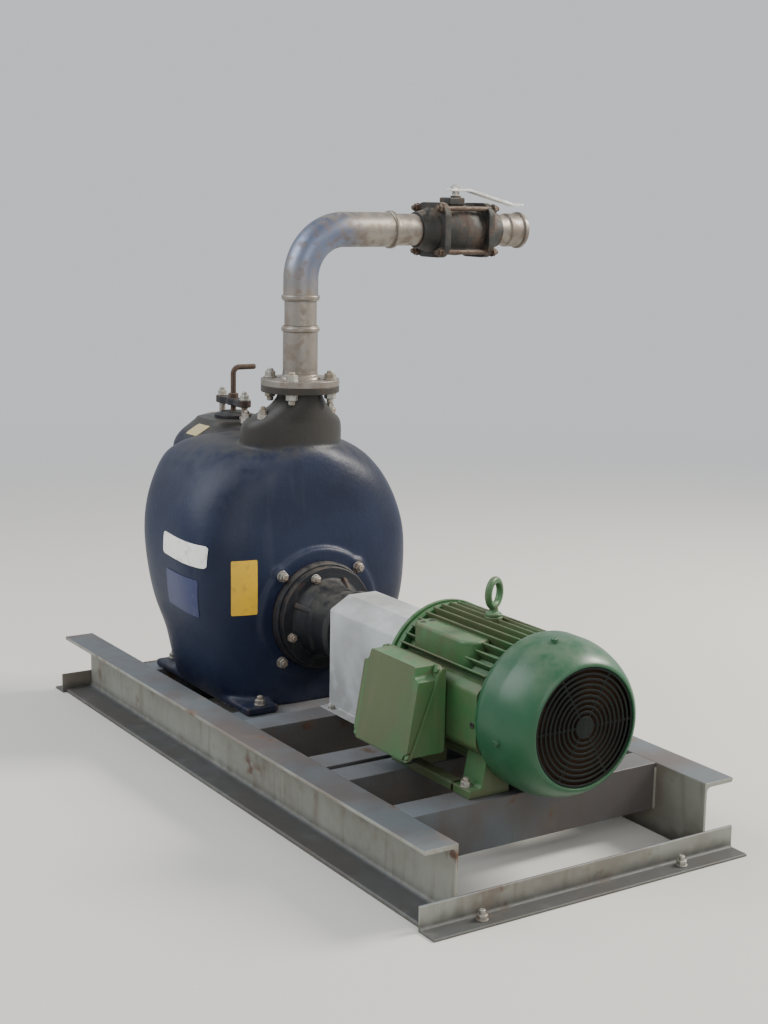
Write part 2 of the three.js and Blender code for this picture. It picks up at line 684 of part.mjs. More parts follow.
// The cowl's side rolls in to its face along a curve between a chamfer and an ellipse.
function cowlRoll() {
  return Array.from({ length: COWL_ROLL.steps + 1 }, (_, index) => {
    const turn = (index / COWL_ROLL.steps) * (Math.PI / 2);
    const share = 2 / COWL_ROLL.power;
    return [
      COWL_ROLL.radius + (COWL_RADIUS - COWL_ROLL.radius) * Math.cos(turn) ** share,
      COWL_ROLL.x + (COWL_END_X - COWL_ROLL.x) * Math.sin(turn) ** share,
    ];
  });
}
add(
  "fan_cowl",
  turnedX(
    [[0, cowlX], [COWL_RADIUS - 4, cowlX], [COWL_RADIUS, cowlX + 12], ...cowlRoll(),
      [GRILLE_RADIUS + 1, COWL_END_X], [GRILLE_RADIUS + 1, grilleSeat], [0, grilleSeat]],
    SHAFT_Z,
    56,
  ),
  greenPaint,
);
add("fan_grille", turnedX(drum(GRILLE_RADIUS, grilleSeat + GAP, COWL_END_X - 3), SHAFT_Z, 56), blackIron);

const footReach = { front: 0, rear: MOTOR_FOOT_X.rear - MOTOR_FOOT_X.front - MOTOR_FOOT.length - GAP };
for (const [place, x] of Object.entries(MOTOR_FOOT_X)) {
  add(`motor_foot_${place}_near`, motorFoot(x, -1, footReach[place]), greenPaint);
  add(`motor_foot_${place}_far`, motorFoot(x, 1, footReach[place]), greenPaint);
}

// Terminal box on the near side, with its sloping lid
function terminalBox() {
  const section = [
    [-BOX.inner - GAP, BOX.bottom],
    [-BOX.outerBottom, BOX.bottom],
    [-BOX.outerTop, BOX.top],
    [-BOX.inner - GAP, BOX.top],
  ];
  return alongX(section, BOX.x0, BOX.x1);
}

// The lid is a wedge, deep at the top, whose face rolls over into its top.
function terminalBoxLid() {
  const slope = (BOX.outerBottom - BOX.outerTop) / (BOX.top - BOX.bottom);
  const innerAt = (z) => -BOX.outerBottom + slope * (z - BOX.bottom) - GAP;
  const faceSlope = (LID.faceBottom - LID.faceTop) / (LID.top - LID.bottom);
  const faceAt = (z) => -LID.faceBottom + faceSlope * (z - LID.bottom);
  const rollLow = LID.top - LID.roll;
  const section = [
    [innerAt(LID.bottom), LID.bottom],
    [faceAt(LID.bottom), LID.bottom],
    [faceAt(rollLow), rollLow],
    [faceAt(rollLow) + LID.roll * 0.35, LID.top - LID.roll * 0.3],
    [faceAt(rollLow) + LID.roll, LID.top],
    [innerAt(LID.top), LID.top],
  ];
  return alongX(section, LID.x0, LID.x1);
}
add("terminal_box", terminalBox(), greenPaint);
add("terminal_box_lid", terminalBoxLid(), greenPaint);
const glandTop = BOX.bottom - GAP;
add(
  "cable_gland",
  turnedZ([[0, glandTop], [GLAND.nut, glandTop], [GLAND.nut, glandTop - GLAND.nutHigh],
    [GLAND.waist, glandTop - GLAND.nutHigh - 1], [GLAND.waist, glandTop - 20], [GLAND.cap, glandTop - 21],
    [GLAND.end, glandTop - GLAND.length], [0, glandTop - GLAND.length]], GLAND_X, GLAND_Y, 6),
  blackIron,
);

// Lifting eye
function eyebolt() {
  const low = eyeSeat + GAP;
  const ring = new THREE.TorusGeometry(EYE_RING, EYE_WIRE, 12, 32);
  ring.rotateY(Math.PI / 2).rotateZ(THREE.MathUtils.degToRad(EYE_TURN)).translate(EYE_X, 0, EYE_CENTRE_Z);
  const neckTop = EYE_CENTRE_Z - EYE_RING + 2;
  const foot = [[0, low], [EYE_FOOT.radius, low], [EYE_FOOT.radius, low + EYE_FOOT.thick],
    [EYE_FOOT.neck, low + EYE_FOOT.thick + 3], [EYE_FOOT.neck - 1, neckTop], [0, neckTop]];
  return joined([ring, turnedZ(foot, EYE_X, 0, 24)]);
}
add("eyebolt", eyebolt(), greenPaint);

// Pipework

// A raised bead round a socket's mouth, as profile points between two heights.
function bead(h) {
  return [
    [SOCKET_RADIUS, h - BEAD_HALF],
    [BEAD_RADIUS, h - BEAD_HALF + 3],
    [BEAD_RADIUS, h + BEAD_HALF - 3],
    [SOCKET_RADIUS, h + BEAD_HALF],
  ];
}

const flangeLow = DISCHARGE_FACE_Z + GAP;
const lowMouth = RISER_JOINT_LOW_Z + BEAD_HALF;
add(
  "discharge_flange",
  turnedZ(
    [[0, flangeLow], [FLANGE_RADIUS, flangeLow], [FLANGE_RADIUS, flangeLow + FLANGE_THICK],
      [SOCKET_RADIUS + 10, flangeLow + FLANGE_THICK + 2], [SOCKET_RADIUS, flangeLow + FLANGE_THICK + 18],
      ...bead(RISER_JOINT_LOW_Z), [0, lowMouth]],
    DISCHARGE_X,
    0,
  ),
  stainless,
);
const highMouth = RISER_JOINT_HIGH_Z - BEAD_HALF;
add("riser_tube", turnedZ(drum(TUBE_RADIUS, lowMouth + GAP, highMouth - GAP), DISCHARGE_X, 0), stainless);

// Elbow from the riser to the header, with a bead at each mouth
function elbow() {
  const path = new THREE.CurvePath();
  const low = new THREE.Vector3(DISCHARGE_X, 0, RISER_JOINT_HIGH_Z);
  const bendLow = new THREE.Vector3(DISCHARGE_X, 0, HEADER_Z - BEND_RADIUS);
  const bendHigh = new THREE.Vector3(DISCHARGE_X, BEND_RADIUS, HEADER_Z);
  const end = new THREE.Vector3(DISCHARGE_X, HEADER_JOINT_Y, HEADER_Z);
  const arc = new THREE.CatmullRomCurve3(
    Array.from({ length: 13 }, (_, i) => {
      const angle = (Math.PI / 2) * (i / 12);
      const y = BEND_RADIUS * (1 - Math.cos(angle));
      return new THREE.Vector3(DISCHARGE_X, y, HEADER_Z - BEND_RADIUS + BEND_RADIUS * Math.sin(angle));
    }),
  );
  path.add(new THREE.LineCurve3(low, bendLow));
  path.add(arc);
  path.add(new THREE.LineCurve3(bendHigh, end));
  const section = new THREE.Shape();
  section.absarc(0, 0, SOCKET_RADIUS, 0, 2 * Math.PI);
  const tube = new THREE.ExtrudeGeometry(section, { steps: 30, curveSegments: 20, extrudePath: path });
  const lowBead = turnedZ(
    [[0, highMouth], ...bead(RISER_JOINT_HIGH_Z), [0, highMouth + 2 * BEAD_HALF]],
    DISCHARGE_X,
    0,
  );
  const farBead = turnedY(
    [[0, HEADER_JOINT_Y - BEAD_HALF], ...bead(HEADER_JOINT_Y), [0, HEADER_JOINT_Y + BEAD_HALF]],
  );
  return joined([tube, lowBead, farBead]);
}
add("elbow", elbow(), stainless);

const headerMouth = HEADER_JOINT_Y + BEAD_HALF;
const hubNear = VALVE_Y - VALVE_HUB_HALF;
const hubFar = VALVE_Y + VALVE_HUB_HALF;
add("header_tube_near", turnedY(drum(TUBE_RADIUS, headerMouth + GAP, hubNear - GAP)), stainless);

// Valve: a round body clamped between two square end caps with hubs for the tube
function valveCap(out) {
  const face = VALVE_Y + out * (VALVE_BODY_HALF + GAP);
  const back = face + out * VALVE_CAP_THICK;
  const far = VALVE_Y + out * VALVE_HUB_HALF;
  const s = VALVE_CAP_HALF_SIDE;
  const c = s * VALVE_CAP_CORNER;
  const corners = [[-s, -c], [-c, -s], [c, -s], [s, -c], [s, c], [c, s], [-c, s], [-s, c]];
  const points = corners.map(([x, z]) => [DISCHARGE_X + x, HEADER_Z + z]);
  const plate = alongY(points, Math.min(face, back), Math.max(face, back));
  const hub = turnedY(
    [[0, back - out * 6], [VALVE_HUB_RADIUS + 6, back - out * 6], [VALVE_HUB_RADIUS, back + out * 12],
      [SOCKET_RADIUS + 2, far - out * 8], [SOCKET_RADIUS + 2, far], [0, far]],
  );
  return joined([plate, hub]);
}
add("valve_cap_near", valveCap(-1), rustyIron);
add("valve_cap_far", valveCap(1), rustyIron);
const bodySteps = [[0, -VALVE_BODY_HALF], ...VALVE_BODY_STEPS, [0, VALVE_BODY_HALF]];
const bodyProfile = bodySteps.map(([r, y]) => [r, VALVE_Y + y]);
const bonnet = turnedZ(
  [[0, HEADER_Z], [BONNET.base, HEADER_Z], [BONNET.base, BONNET.shoulder],
    [BONNET.radius, BONNET.shoulder + 2], [BONNET.radius, BONNET.top], [0, BONNET.top]],
  DISCHARGE_X,
  VALVE_Y,
  32,
);
const stopCorners = [
  [LEVER_STOP.near, LEVER_STOP.low],
  [LEVER_STOP.far, LEVER_STOP.low],
  [LEVER_STOP.far, LEVER_STOP.high],
  [LEVER_STOP.near, LEVER_STOP.high],
];
const stopOutline = stopCorners.map(([y, z]) => [VALVE_Y + y, z]);
const leverStop = alongX(stopOutline, DISCHARGE_X - LEVER_STOP.half, DISCHARGE_X + LEVER_STOP.half);
add("valve_body", joined([turnedY(bodyProfile), bonnet, leverStop]), rustyIron);

// Last length of the header, ending in a socket that is open for the next pipe
const socketLow = HEADER_END_Y - SOCKET_DEPTH - 5;
const socketBead = HEADER_END_Y - BEAD_HALF;
add(
  "header_socket",
  turnedY(
    [[0, hubFar + GAP], [TUBE_RADIUS, hubFar + GAP], [TUBE_RADIUS, socketLow - 6], [SOCKET_RADIUS, socketLow],
      ...bead(socketBead), [TUBE_RADIUS, HEADER_END_Y], [TUBE_RADIUS, HEADER_END_Y - SOCKET_DEPTH],
      [0, HEADER_END_Y - SOCKET_DEPTH]],
  ),
  stainless,
);

// Valve lever and the stem that it turns
add(
  "valve_stem",
  turnedZ(drum(STEM_RADIUS, BONNET.top + GAP, STEM_TOP_Z), DISCHARGE_X, VALVE_Y, 24),
  bareSteel,
);

function valveLever() {
  const y = (reach) => VALVE_Y + reach;
  const top = LEVER_Z + LEVER_THICK;
  const slopeEnd = LEVER_LENGTH - LEVER_TIP;
  const side = [
    [y(-LEVER_BACK), LEVER_Z],
    [y(LEVER_FLAT), LEVER_Z],
    [y(slopeEnd), LEVER_Z - LEVER_DROP],
    [y(LEVER_LENGTH), LEVER_Z - LEVER_DROP],
    [y(LEVER_LENGTH), top - LEVER_DROP],
    [y(slopeEnd), top - LEVER_DROP],
    [y(LEVER_FLAT), top],
    [y(-LEVER_BACK), top],
  ];
  const bar = alongX(side, DISCHARGE_X - LEVER_WIDTH / 2, DISCHARGE_X + LEVER_WIDTH / 2);
  const hole = turnedZ(drum(STEM_RADIUS + GAP, LEVER_Z - 5, top + 5), DISCHARGE_X, VALVE_Y, 24);
  return joined([bar], [hole]);
}
add("valve_lever", valveLever(), bareSteel);

// The part's own frame: origin under the middle of its footprint, on the floor
const footprint = new THREE.Box3().setFromObject(group);
const middle = footprint.getCenter(new THREE.Vector3());
group.children.forEach((mesh) => mesh.position.set(-middle.x, -middle.y, -footprint.min.z));

export default group;
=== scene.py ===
"""The looks of a skid-mounted self-priming pump set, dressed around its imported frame.

Sizes are millimetres in the skid's own frame: x = 0 at the pump end of the channels with +X towards the
motor, y = 0 in the shaft's plane, z = 0 on the floor. The workshop scales a finished mesh and moves it into
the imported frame, where every object sits at the origin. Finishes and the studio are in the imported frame's
metres.
"""

import logging
import math
from collections.abc import Iterable, Sequence
from dataclasses import dataclass
from enum import Enum

import bmesh
import bpy
from mathutils import Matrix, Vector
from mathutils.bvhtree import BVHTree

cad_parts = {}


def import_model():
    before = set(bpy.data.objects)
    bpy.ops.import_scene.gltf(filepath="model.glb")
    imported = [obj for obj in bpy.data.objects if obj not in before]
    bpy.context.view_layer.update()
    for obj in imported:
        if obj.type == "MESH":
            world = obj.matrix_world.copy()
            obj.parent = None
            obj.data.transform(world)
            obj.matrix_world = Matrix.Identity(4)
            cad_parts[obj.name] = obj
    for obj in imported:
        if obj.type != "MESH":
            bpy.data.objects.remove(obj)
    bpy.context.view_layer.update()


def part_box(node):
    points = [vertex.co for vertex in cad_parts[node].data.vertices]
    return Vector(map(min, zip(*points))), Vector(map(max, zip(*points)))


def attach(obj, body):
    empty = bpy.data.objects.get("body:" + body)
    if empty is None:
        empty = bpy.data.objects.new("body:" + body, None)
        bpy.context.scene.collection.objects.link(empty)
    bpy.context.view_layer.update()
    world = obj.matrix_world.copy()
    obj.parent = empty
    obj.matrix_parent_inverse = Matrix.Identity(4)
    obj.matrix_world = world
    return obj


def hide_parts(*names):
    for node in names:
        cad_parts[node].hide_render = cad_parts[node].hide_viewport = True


LOG = logging.getLogger("pump_set")
MILLIMETRE = 0.001

BMesh = bmesh.types.BMesh
Numbers = Sequence[float]
Outline = Sequence[Numbers]
Places = tuple[tuple[str, float], ...]
Rgb = tuple[int, int, int]

# Millimetres: the clear space between pieces, and from the shaft's plane to the back of a channel's web
GAP = 0.3
WEB_BACK = 300
# Steps of a spin
HEXAGON = 6
ROUND = 72
FINE = 96
# Directions, sides and corners
UP = (0, 0, 1)
FAR = (0, 1, 0)
BOTH = (-1, 1)
SIDES = ((-1, "near"), (1, "far"))
CORNERS = ((-1, -1), (1, -1), (1, 1), (-1, 1))


class Axis(Enum):
    """The line that a shape is turned round or pushed along, as rows that lay (u, v, w) into place."""

    X = ((0, 0, 1), (1, 0, 0), (0, 1, 0))
    Y = ((1, 0, 0), (0, 0, 1), (0, 1, 0))
    Z = ((1, 0, 0), (0, 1, 0), (0, 0, 1))


class Slot(Enum):
    """The material slots that the finishes fill."""

    SKID = "skid_steel"
    PUMP = "pump_paint"
    BLACK = "black_iron"
    GUARD = "guard_paint"
    MOTOR = "motor_paint"
    GRILLE = "grille_wire"
    GLAND = "gland_plastic"
    STEEL = "bare_steel"
    PIPE = "stainless_pipe"
    VALVE = "valve_iron"


# Shapes


def filleted(points: Outline, closed: bool = True, steps: int = 4) -> list[Vector]:
    """Rounds each corner of an outline that gives a radius as its third number.

    Args:
        points: Corners as (u, v) or (u, v, radius).
        closed: Whether the last corner joins the first.
        steps: Edges in each rounded corner.

    Returns:
        The outline's points in order.
    """
    result = []
    count = len(points)
    for index, point in enumerate(points):
        corner = Vector(point[:2])
        radius = point[2] if len(point) > 2 else 0
        if radius == 0 or (not closed and index in (0, count - 1)):
            result.append(corner)
            continue
        before = Vector(points[index - 1][:2]) - corner
        after = Vector(points[(index + 1) % count][:2]) - corner
        half = before.angle(after) / 2
        reach = min(radius / math.tan(half), 0.49 * before.length, 0.49 * after.length)
        bow = reach * math.tan(half)
        centre = corner + (before.normalized() + after.normalized()).normalized() * bow / math.sin(half)
        first = corner + before.normalized() * reach - centre
        last = corner + after.normalized() * reach - centre
        for step in range(steps + 1):
            arm = first.normalized().slerp(last.normalized(), step / steps)
            result.append(centre + arm.normalized() * bow)
    return result


def laid(bm: BMesh, axis: Axis) -> BMesh:
    """Turns a mesh made along w so that w lies along an axis.

    Args:
        bm: The mesh.
        axis: Where w is to lie.

    Returns:
        The same mesh, with its faces pointing outwards.
    """
    bmesh.ops.transform(bm, matrix=Matrix(axis.value).to_4x4(), verts=bm.verts)
    bmesh.ops.recalc_face_normals(bm, faces=bm.faces)
    return bm


def pushed(outline: Outline, axis: Axis, low: float, high: float, steps: int = 4) -> BMesh:
    """Pushes an outline along an axis.

    Args:
        outline: Its corners across the axis, with fillets where a third number asks for one.
        axis: The way that it goes.
        low: Where it starts.
        high: Where it ends.
        steps: Edges in each rounded corner.

    Returns:
        A closed bar.
    """
    bm = bmesh.new()
    face = bm.faces.new([bm.verts.new((u, v, low)) for u, v in filleted(outline, steps=steps)])
    grown = bmesh.ops.extrude_face_region(bm, geom=[face])["geom"]
    tops = [part for part in grown if isinstance(part, bmesh.types.BMVert)]
    bmesh.ops.translate(bm, verts=tops, vec=(0, 0, high - low))
    open_edges = [edge for edge in bm.edges if edge.is_boundary]
    if open_edges:
        bmesh.ops.holes_fill(bm, edges=open_edges)
    return laid(bm, axis)


def rounded(bm: BMesh, edges: list[bmesh.types.BMEdge], width: float, segments: int) -> BMesh:
    """Rounds some of a mesh's edges."""
    bmesh.ops.bevel(
        bm, geom=edges, offset=width, offset_type="OFFSET", segments=segments, profile=0.5,
        affect="EDGES", clamp_overlap=True, material=-1,
    )
    return bm


def bevelled(bm: BMesh, width: float, segments: int = 2, over: float = 40.0) -> BMesh:
    """Rounds every sharp edge of a mesh.

    Args:
        bm: The mesh.
        width: How far the rounding reaches.
        segments: Faces across it.
        over: Edges whose faces meet at more than this, in degrees, are sharp.

    Returns:
        The same mesh.
    """
    limit = math.radians(over)
    sharp = [edge for edge in bm.edges if len(edge.link_faces) == 2 and edge.calc_face_angle() > limit]
    return rounded(bm, sharp, width, segments)


def block(low: Numbers, high: Numbers, radius: float, segments: int = 3) -> BMesh:
    """A box between two corners.

    Args:
        low: The corner with the smallest coordinates.
        high: The corner with the largest.
        radius: The size of its rounded edges.
        segments: Faces across a rounded edge.

    Returns:
        A closed mesh.
    """
    bm = bmesh.new()
    size = Vector(high) - Vector(low)
    place = Matrix.Translation((Vector(low) + Vector(high)) / 2) @ Matrix.Diagonal((*size, 1))
    bmesh.ops.create_cube(bm, size=1, matrix=place)
    return bevelled(bm, radius, segments)


def linked(name: str, data: bpy.types.ID) -> bpy.types.Object:
    """Puts data in the scene.

    Args:
        name: The object's name.
        data: Its mesh, lamp or camera.

    Returns:
        The object.
    """
    made = bpy.data.objects.new(name, data)
    bpy.context.scene.collection.objects.link(made)
    return made


def kept(bm: BMesh) -> bpy.types.Mesh:
    """Turns a bmesh into mesh data.

    Args:
        bm: The bmesh, which is freed.

    Returns:
        The data.
    """
    scratch = bpy.data.meshes.new("scratch")
    bm.to_mesh(scratch)
    bm.free()
    return scratch


def merged(*parts: BMesh) -> BMesh:
    """Puts several meshes in one.

    Args:
        parts: The meshes, which are freed.

    Returns:
        The one mesh.
    """
    out = bmesh.new()
    for part in parts:
        scratch = kept(part)
        out.from_mesh(scratch)
        bpy.data.meshes.remove(scratch)
    return out


def placed(source: BMesh, spots: Iterable[Matrix]) -> BMesh:
    """Copies a mesh to each spot.

    Args:
        source: The mesh, which is freed.
        spots: Where the copies go.

    Returns:
        All copies in one mesh.
    """
    scratch = kept(source)
    out = bmesh.new()
    for spot in spots:
        start = len(out.verts)
        out.from_mesh(scratch)
        out.verts.ensure_lookup_table()
        bmesh.ops.transform(out, matrix=spot, verts=out.verts[start:])
    bpy.data.meshes.remove(scratch)
    return out


def aimed(point: Numbers, way: Numbers = UP, spin: float = 0.0) -> Matrix:
    """The matrix that stands a mesh made along Z at a point, along a direction, spun in degrees."""
    turn = Vector(way).to_track_quat("Z", "Y").to_matrix().to_4x4()
    return Matrix.Translation(point) @ turn @ Matrix.Rotation(math.radians(spin), 4, "Z")


@dataclass(frozen=True)
class Line:
    """An axis that shapes are turned round, and where it passes in the plane across it."""

    axis: Axis
    centre: Numbers = (0, 0)

    def turned(
        self, profile: Outline, base: float = 0, way: int = 1, sides: int = ROUND, ring: bool = False
    ) -> BMesh:
        """Spins a profile of (radius, place) points, with fillets where a third number asks for one.

        Args:
            profile: Points from one end of the axis to the other, or a closed loop for a ring.
            base: Where the places are counted from.
            way: 1 to count them along the axis, -1 against it.
            sides: Steps of the spin.
            ring: Whether the profile closes on itself.

        Returns:
            A closed mesh.
        """
        bm = bmesh.new()
        stood = [(radius, base + way * place, *fillet) for radius, place, *fillet in profile]
        verts = [bm.verts.new((u, 0, w)) for u, w in filleted(stood, closed=ring)]
        edges = [bm.edges.new(pair) for pair in zip(verts, verts[1:])]
        if ring:
            edges.append(bm.edges.new((verts[-1], verts[0])))
        bmesh.ops.spin(
            bm, geom=verts + edges, cent=(0, 0, 0), axis=UP, dvec=(0, 0, 0),
            angle=2 * math.pi, steps=sides, use_merge=True,
        )
        bmesh.ops.remove_doubles(bm, verts=bm.verts, dist=0.001)
        bmesh.ops.translate(bm, verts=bm.verts, vec=(*self.centre, 0))
        return laid(bm, self.axis)

    def drum(
        self, radius: float, start: float, end: float, rims: Numbers = (0, 0), sides: int = ROUND
    ) -> BMesh:
        """A solid round between two places, with a fillet on each rim."""
        profile = [(0, start), (radius, start, rims[0]), (radius, end, rims[1]), (0, end)]
        return self.turned(profile, sides=sides)

    def spots(self, radius: float, place: float, count: int, start: float, way: int = 1) -> list[Matrix]:
        """Spots for fasteners on a bolt circle.

        Args:
            radius: The circle's radius.
            place: Where the seat is along the axis.
            count: How many spots.
            start: Angle of the first, in degrees.
            way: 1 to stand along the axis, -1 against it.

        Returns:
            One matrix a spot.
        """
        lay = Matrix(self.axis.value)
        spots = []
        for index in range(count):
            angle = math.radians(start + 360 * index / count)
            u, v = self.centre[0] + radius * math.cos(angle), self.centre[1] + radius * math.sin(angle)
            spots.append(aimed(lay @ Vector((u, v, place)), lay @ Vector((0, 0, way)), 17.0 * index))
        return spots


UPRIGHT = Line(Axis.Z)
SHAFT = Line(Axis.X, (0, 310))
SUCTION = Line(Axis.X, (0, 620))
PORT = Line(Axis.Z, (216, 0))
RISER = Line(Axis.Z, (552, 0))
HEADER = Line(Axis.Y, (552, 1205))
STEM = Line(Axis.Z, (552, 435))
EYE = Line(Axis.Z, (1334, 0))
GLAND = Line(Axis.Z, (1322, -192))


def lofted(rows: Outline, power: float, sides: int = FINE) -> BMesh:
    """Skins rounded rectangles that are stacked in z.

    Args:
        rows: (z, centre x, half length in x, half width in y) of each ring, then the half length and the
            power of its +X half where they differ.
        power: 2 for an ellipse, more for a squarer ring.
        sides: Points in a ring.

    Returns:
        A closed mesh.
    """
    bm = bmesh.new()
    rims = []
    last = len(rows) - 1
    for level, (z, centre, half_x, half_y, *front) in enumerate(rows):
        ring = bmesh.ops.create_circle(bm, cap_ends=level in (0, last), radius=1, segments=sides)["verts"]
        for vert in ring:
            angle = math.atan2(vert.co.y, vert.co.x)
            across, along = math.cos(angle), math.sin(angle)
            reach, share = (front[0], 2 / front[1]) if front and across > 0 else (half_x, 2 / power)
            vert.co.x = centre + reach * math.copysign(abs(across) ** share, across)
            vert.co.y = half_y * math.copysign(abs(along) ** share, along)
            vert.co.z = z
        members = set(ring)
        rims.append([edge for edge in bm.edges if edge.verts[0] in members and edge.verts[1] in members])
    for lower, upper in zip(rims, rims[1:]):
        bmesh.ops.bridge_loops(bm, edges=lower + upper)
    bmesh.ops.recalc_face_normals(bm, faces=bm.faces)
    return bm


def between(rows: Outline, steps: int) -> list[tuple[float, ...]]:
    """Adds rows on the smooth curves that pass through the given ones.

    Args:
        rows: The given rows, of numbers that all change smoothly.
        steps: Rows for each given one.

    Returns:
        All rows in order.
    """
    result = []
    last = len(rows) - 1
    for index in range(last):
        a, b, c, d = (Vector(rows[min(max(index + k, 0), last)]) for k in (-1, 0, 1, 2))
        for step in range(steps):
            t = step / steps
            curve = b * 2 + (c - a) * t + (a * 2 - b * 5 + c * 4 - d) * t**2 + (b * 3 - a - c * 3 + d) * t**3
            result.append(tuple(curve / 2))
    result.append(tuple(rows[last]))
    return result


def fused(bm: BMesh, voxel: float, softness: int) -> BMesh:
    """Casts overlapping solids into one skin, with soft inner corners.

    Args:
        bm: The solids, which are freed.
        voxel: The grain of the new skin.
        softness: Rounds of smoothing.

    Returns:
        One closed skin.
    """
    scratch = kept(bm)
    carrier = linked("scratch", scratch)
    cast = carrier.modifiers.new("cast", "REMESH")
    cast.mode = "VOXEL"
    cast.voxel_size = voxel
    cast.use_smooth_shade = True
    soft = carrier.modifiers.new("soft", "SMOOTH")
    soft.factor = 0.5
    soft.iterations = softness
    skin = bpy.data.meshes.new_from_object(carrier.evaluated_get(bpy.context.evaluated_depsgraph_get()))
    out = bmesh.new()
    out.from_mesh(skin)
    bpy.data.objects.remove(carrier)
    bpy.data.meshes.remove(scratch)
    bpy.data.meshes.remove(skin)
    return out


class Rod:
    """A round bar that grows from its end ring, straight or in bends."""

    def __init__(self, start: Numbers, heading: Numbers, radius: float, sides: int) -> None:
        """Starts the bar with a capped ring.

        Args:
            start: The ring's centre.
            heading: The way that the bar grows.
            radius: The bar's radius.
            sides: Points in the ring.
        """
        self.mesh = bmesh.new()
        self.end = Vector(start)
        self.heading = Vector(heading)
        place = aimed(self.end, self.heading)
        made = bmesh.ops.create_circle(self.mesh, cap_ends=True, radius=radius, segments=sides, matrix=place)
        members = set(made["verts"])
        self.rim = [edge for edge in self.mesh.edges if set(edge.verts) <= members]

    def straight(self, length: float, scale: float = 1.0) -> "Rod":
        """Grows the bar along its heading.

        Args:
            length: How far it grows.
            scale: How much its end swells or tapers.

        Returns:
            The bar itself.
        """
        grown = bmesh.ops.extrude_edge_only(self.mesh, edges=self.rim)["geom"]
        verts = [part for part in grown if isinstance(part, bmesh.types.BMVert)]
        self.rim = [part for part in grown if isinstance(part, bmesh.types.BMEdge)]
        bmesh.ops.translate(self.mesh, verts=verts, vec=self.heading * length)
        self.end = self.end + self.heading * length
        if scale != 1.0:
            space = Matrix.Translation(-self.end)
            bmesh.ops.scale(self.mesh, verts=verts, vec=(scale, scale, scale), space=space)
        return self

    def quarter(self, side: Numbers, radius: float, steps: int) -> "Rod":
        """Turns the bar a quarter towards a side.

        Args:
            side: The way that it then heads.
            radius: The radius of its centre line.
            steps: Rings in the bend.

        Returns:
            The bar itself.
        """
        way = Vector(side)
        axis = self.heading.cross(way)
        centre = self.end + way * radius
        verts = list({vert for edge in self.rim for vert in edge.verts})
        made = bmesh.ops.spin(
            self.mesh, geom=verts + self.rim, cent=centre, axis=axis, dvec=(0, 0, 0),
            angle=math.pi / 2, steps=steps, use_merge=False,
        )
        self.rim = [part for part in made["geom_last"] if isinstance(part, bmesh.types.BMEdge)]
        turn = Matrix.Rotation(math.pi / 2, 3, axis)
        self.end = centre + turn @ (self.end - centre)
        self.heading = turn @ self.heading
        return self

    def done(self) -> BMesh:
        """Caps the bar's end.

        Returns:
            The bar's mesh.
        """
        bmesh.ops.edgeloop_fill(self.mesh, edges=self.rim)
        bmesh.ops.recalc_face_normals(self.mesh, faces=self.mesh.faces)
        return self.mesh


@dataclass(frozen=True)
class Bolt:
    """A hexagon nut or head on its washer, with the thread's end where it shows."""

    size: float
    stub: float = 0.0
    washer: bool = True

    def mesh(self) -> BMesh:
        """The fastener, standing on z = 0.

        Returns:
            Its mesh.
        """
        s = self.size
        seat = 0.18 * s if self.washer else 0.0
        top = seat + 0.75 * s
        head = [(0, -0.2), (0.87 * s, -0.2), (0.87 * s, 0.65 * s), (0.74 * s, 0.75 * s), (0, 0.75 * s)]
        parts = [UPRIGHT.turned(head, seat, sides=HEXAGON)]
        if self.washer:
            parts.append(UPRIGHT.drum(0.98 * s, 0, seat, (0.05 * s, 0.05 * s), 28))
        if self.stub:
            end = self.stub
            thread = [(0, -1), (0.5 * s, -1), (0.5 * s, end - 0.12 * s), (0.4 * s, end), (0, end)]
            parts.append(UPRIGHT.turned(thread, top, sides=20))
        return merged(*parts)

    def at(self, spots: Iterable[Matrix]) -> BMesh:
        """One of it on each spot."""
        return placed(self.mesh(), spots)


# Shader maths


class Signal:
    """A number in a node graph, with Python's operators."""

    def __init__(self, graph: "Graph", socket: bpy.types.NodeSocket) -> None:
        """Keeps the socket that gives the number."""
        self.graph = graph
        self.socket = socket

    def _math(self, operation: str, first: "Signal | float", second: "Signal | float") -> "Signal":
        """Adds a Math node."""
        return self.graph.add("ShaderNodeMath", {"operation": operation}, {0: first, 1: second})

    def __add__(self, other: "Signal | float") -> "Signal":
        """Adds."""
        return self._math("ADD", self, other)

    __radd__ = __add__

    def __sub__(self, other: "Signal | float") -> "Signal":
        """Subtracts."""
        return self._math("SUBTRACT", self, other)

    def __rsub__(self, other: "Signal | float") -> "Signal":
        """Subtracts from a number."""
        return self._math("SUBTRACT", other, self)

    def __mul__(self, other: "Signal | float") -> "Signal":
        """Multiplies."""
        return self._math("MULTIPLY", self, other)

    __rmul__ = __mul__


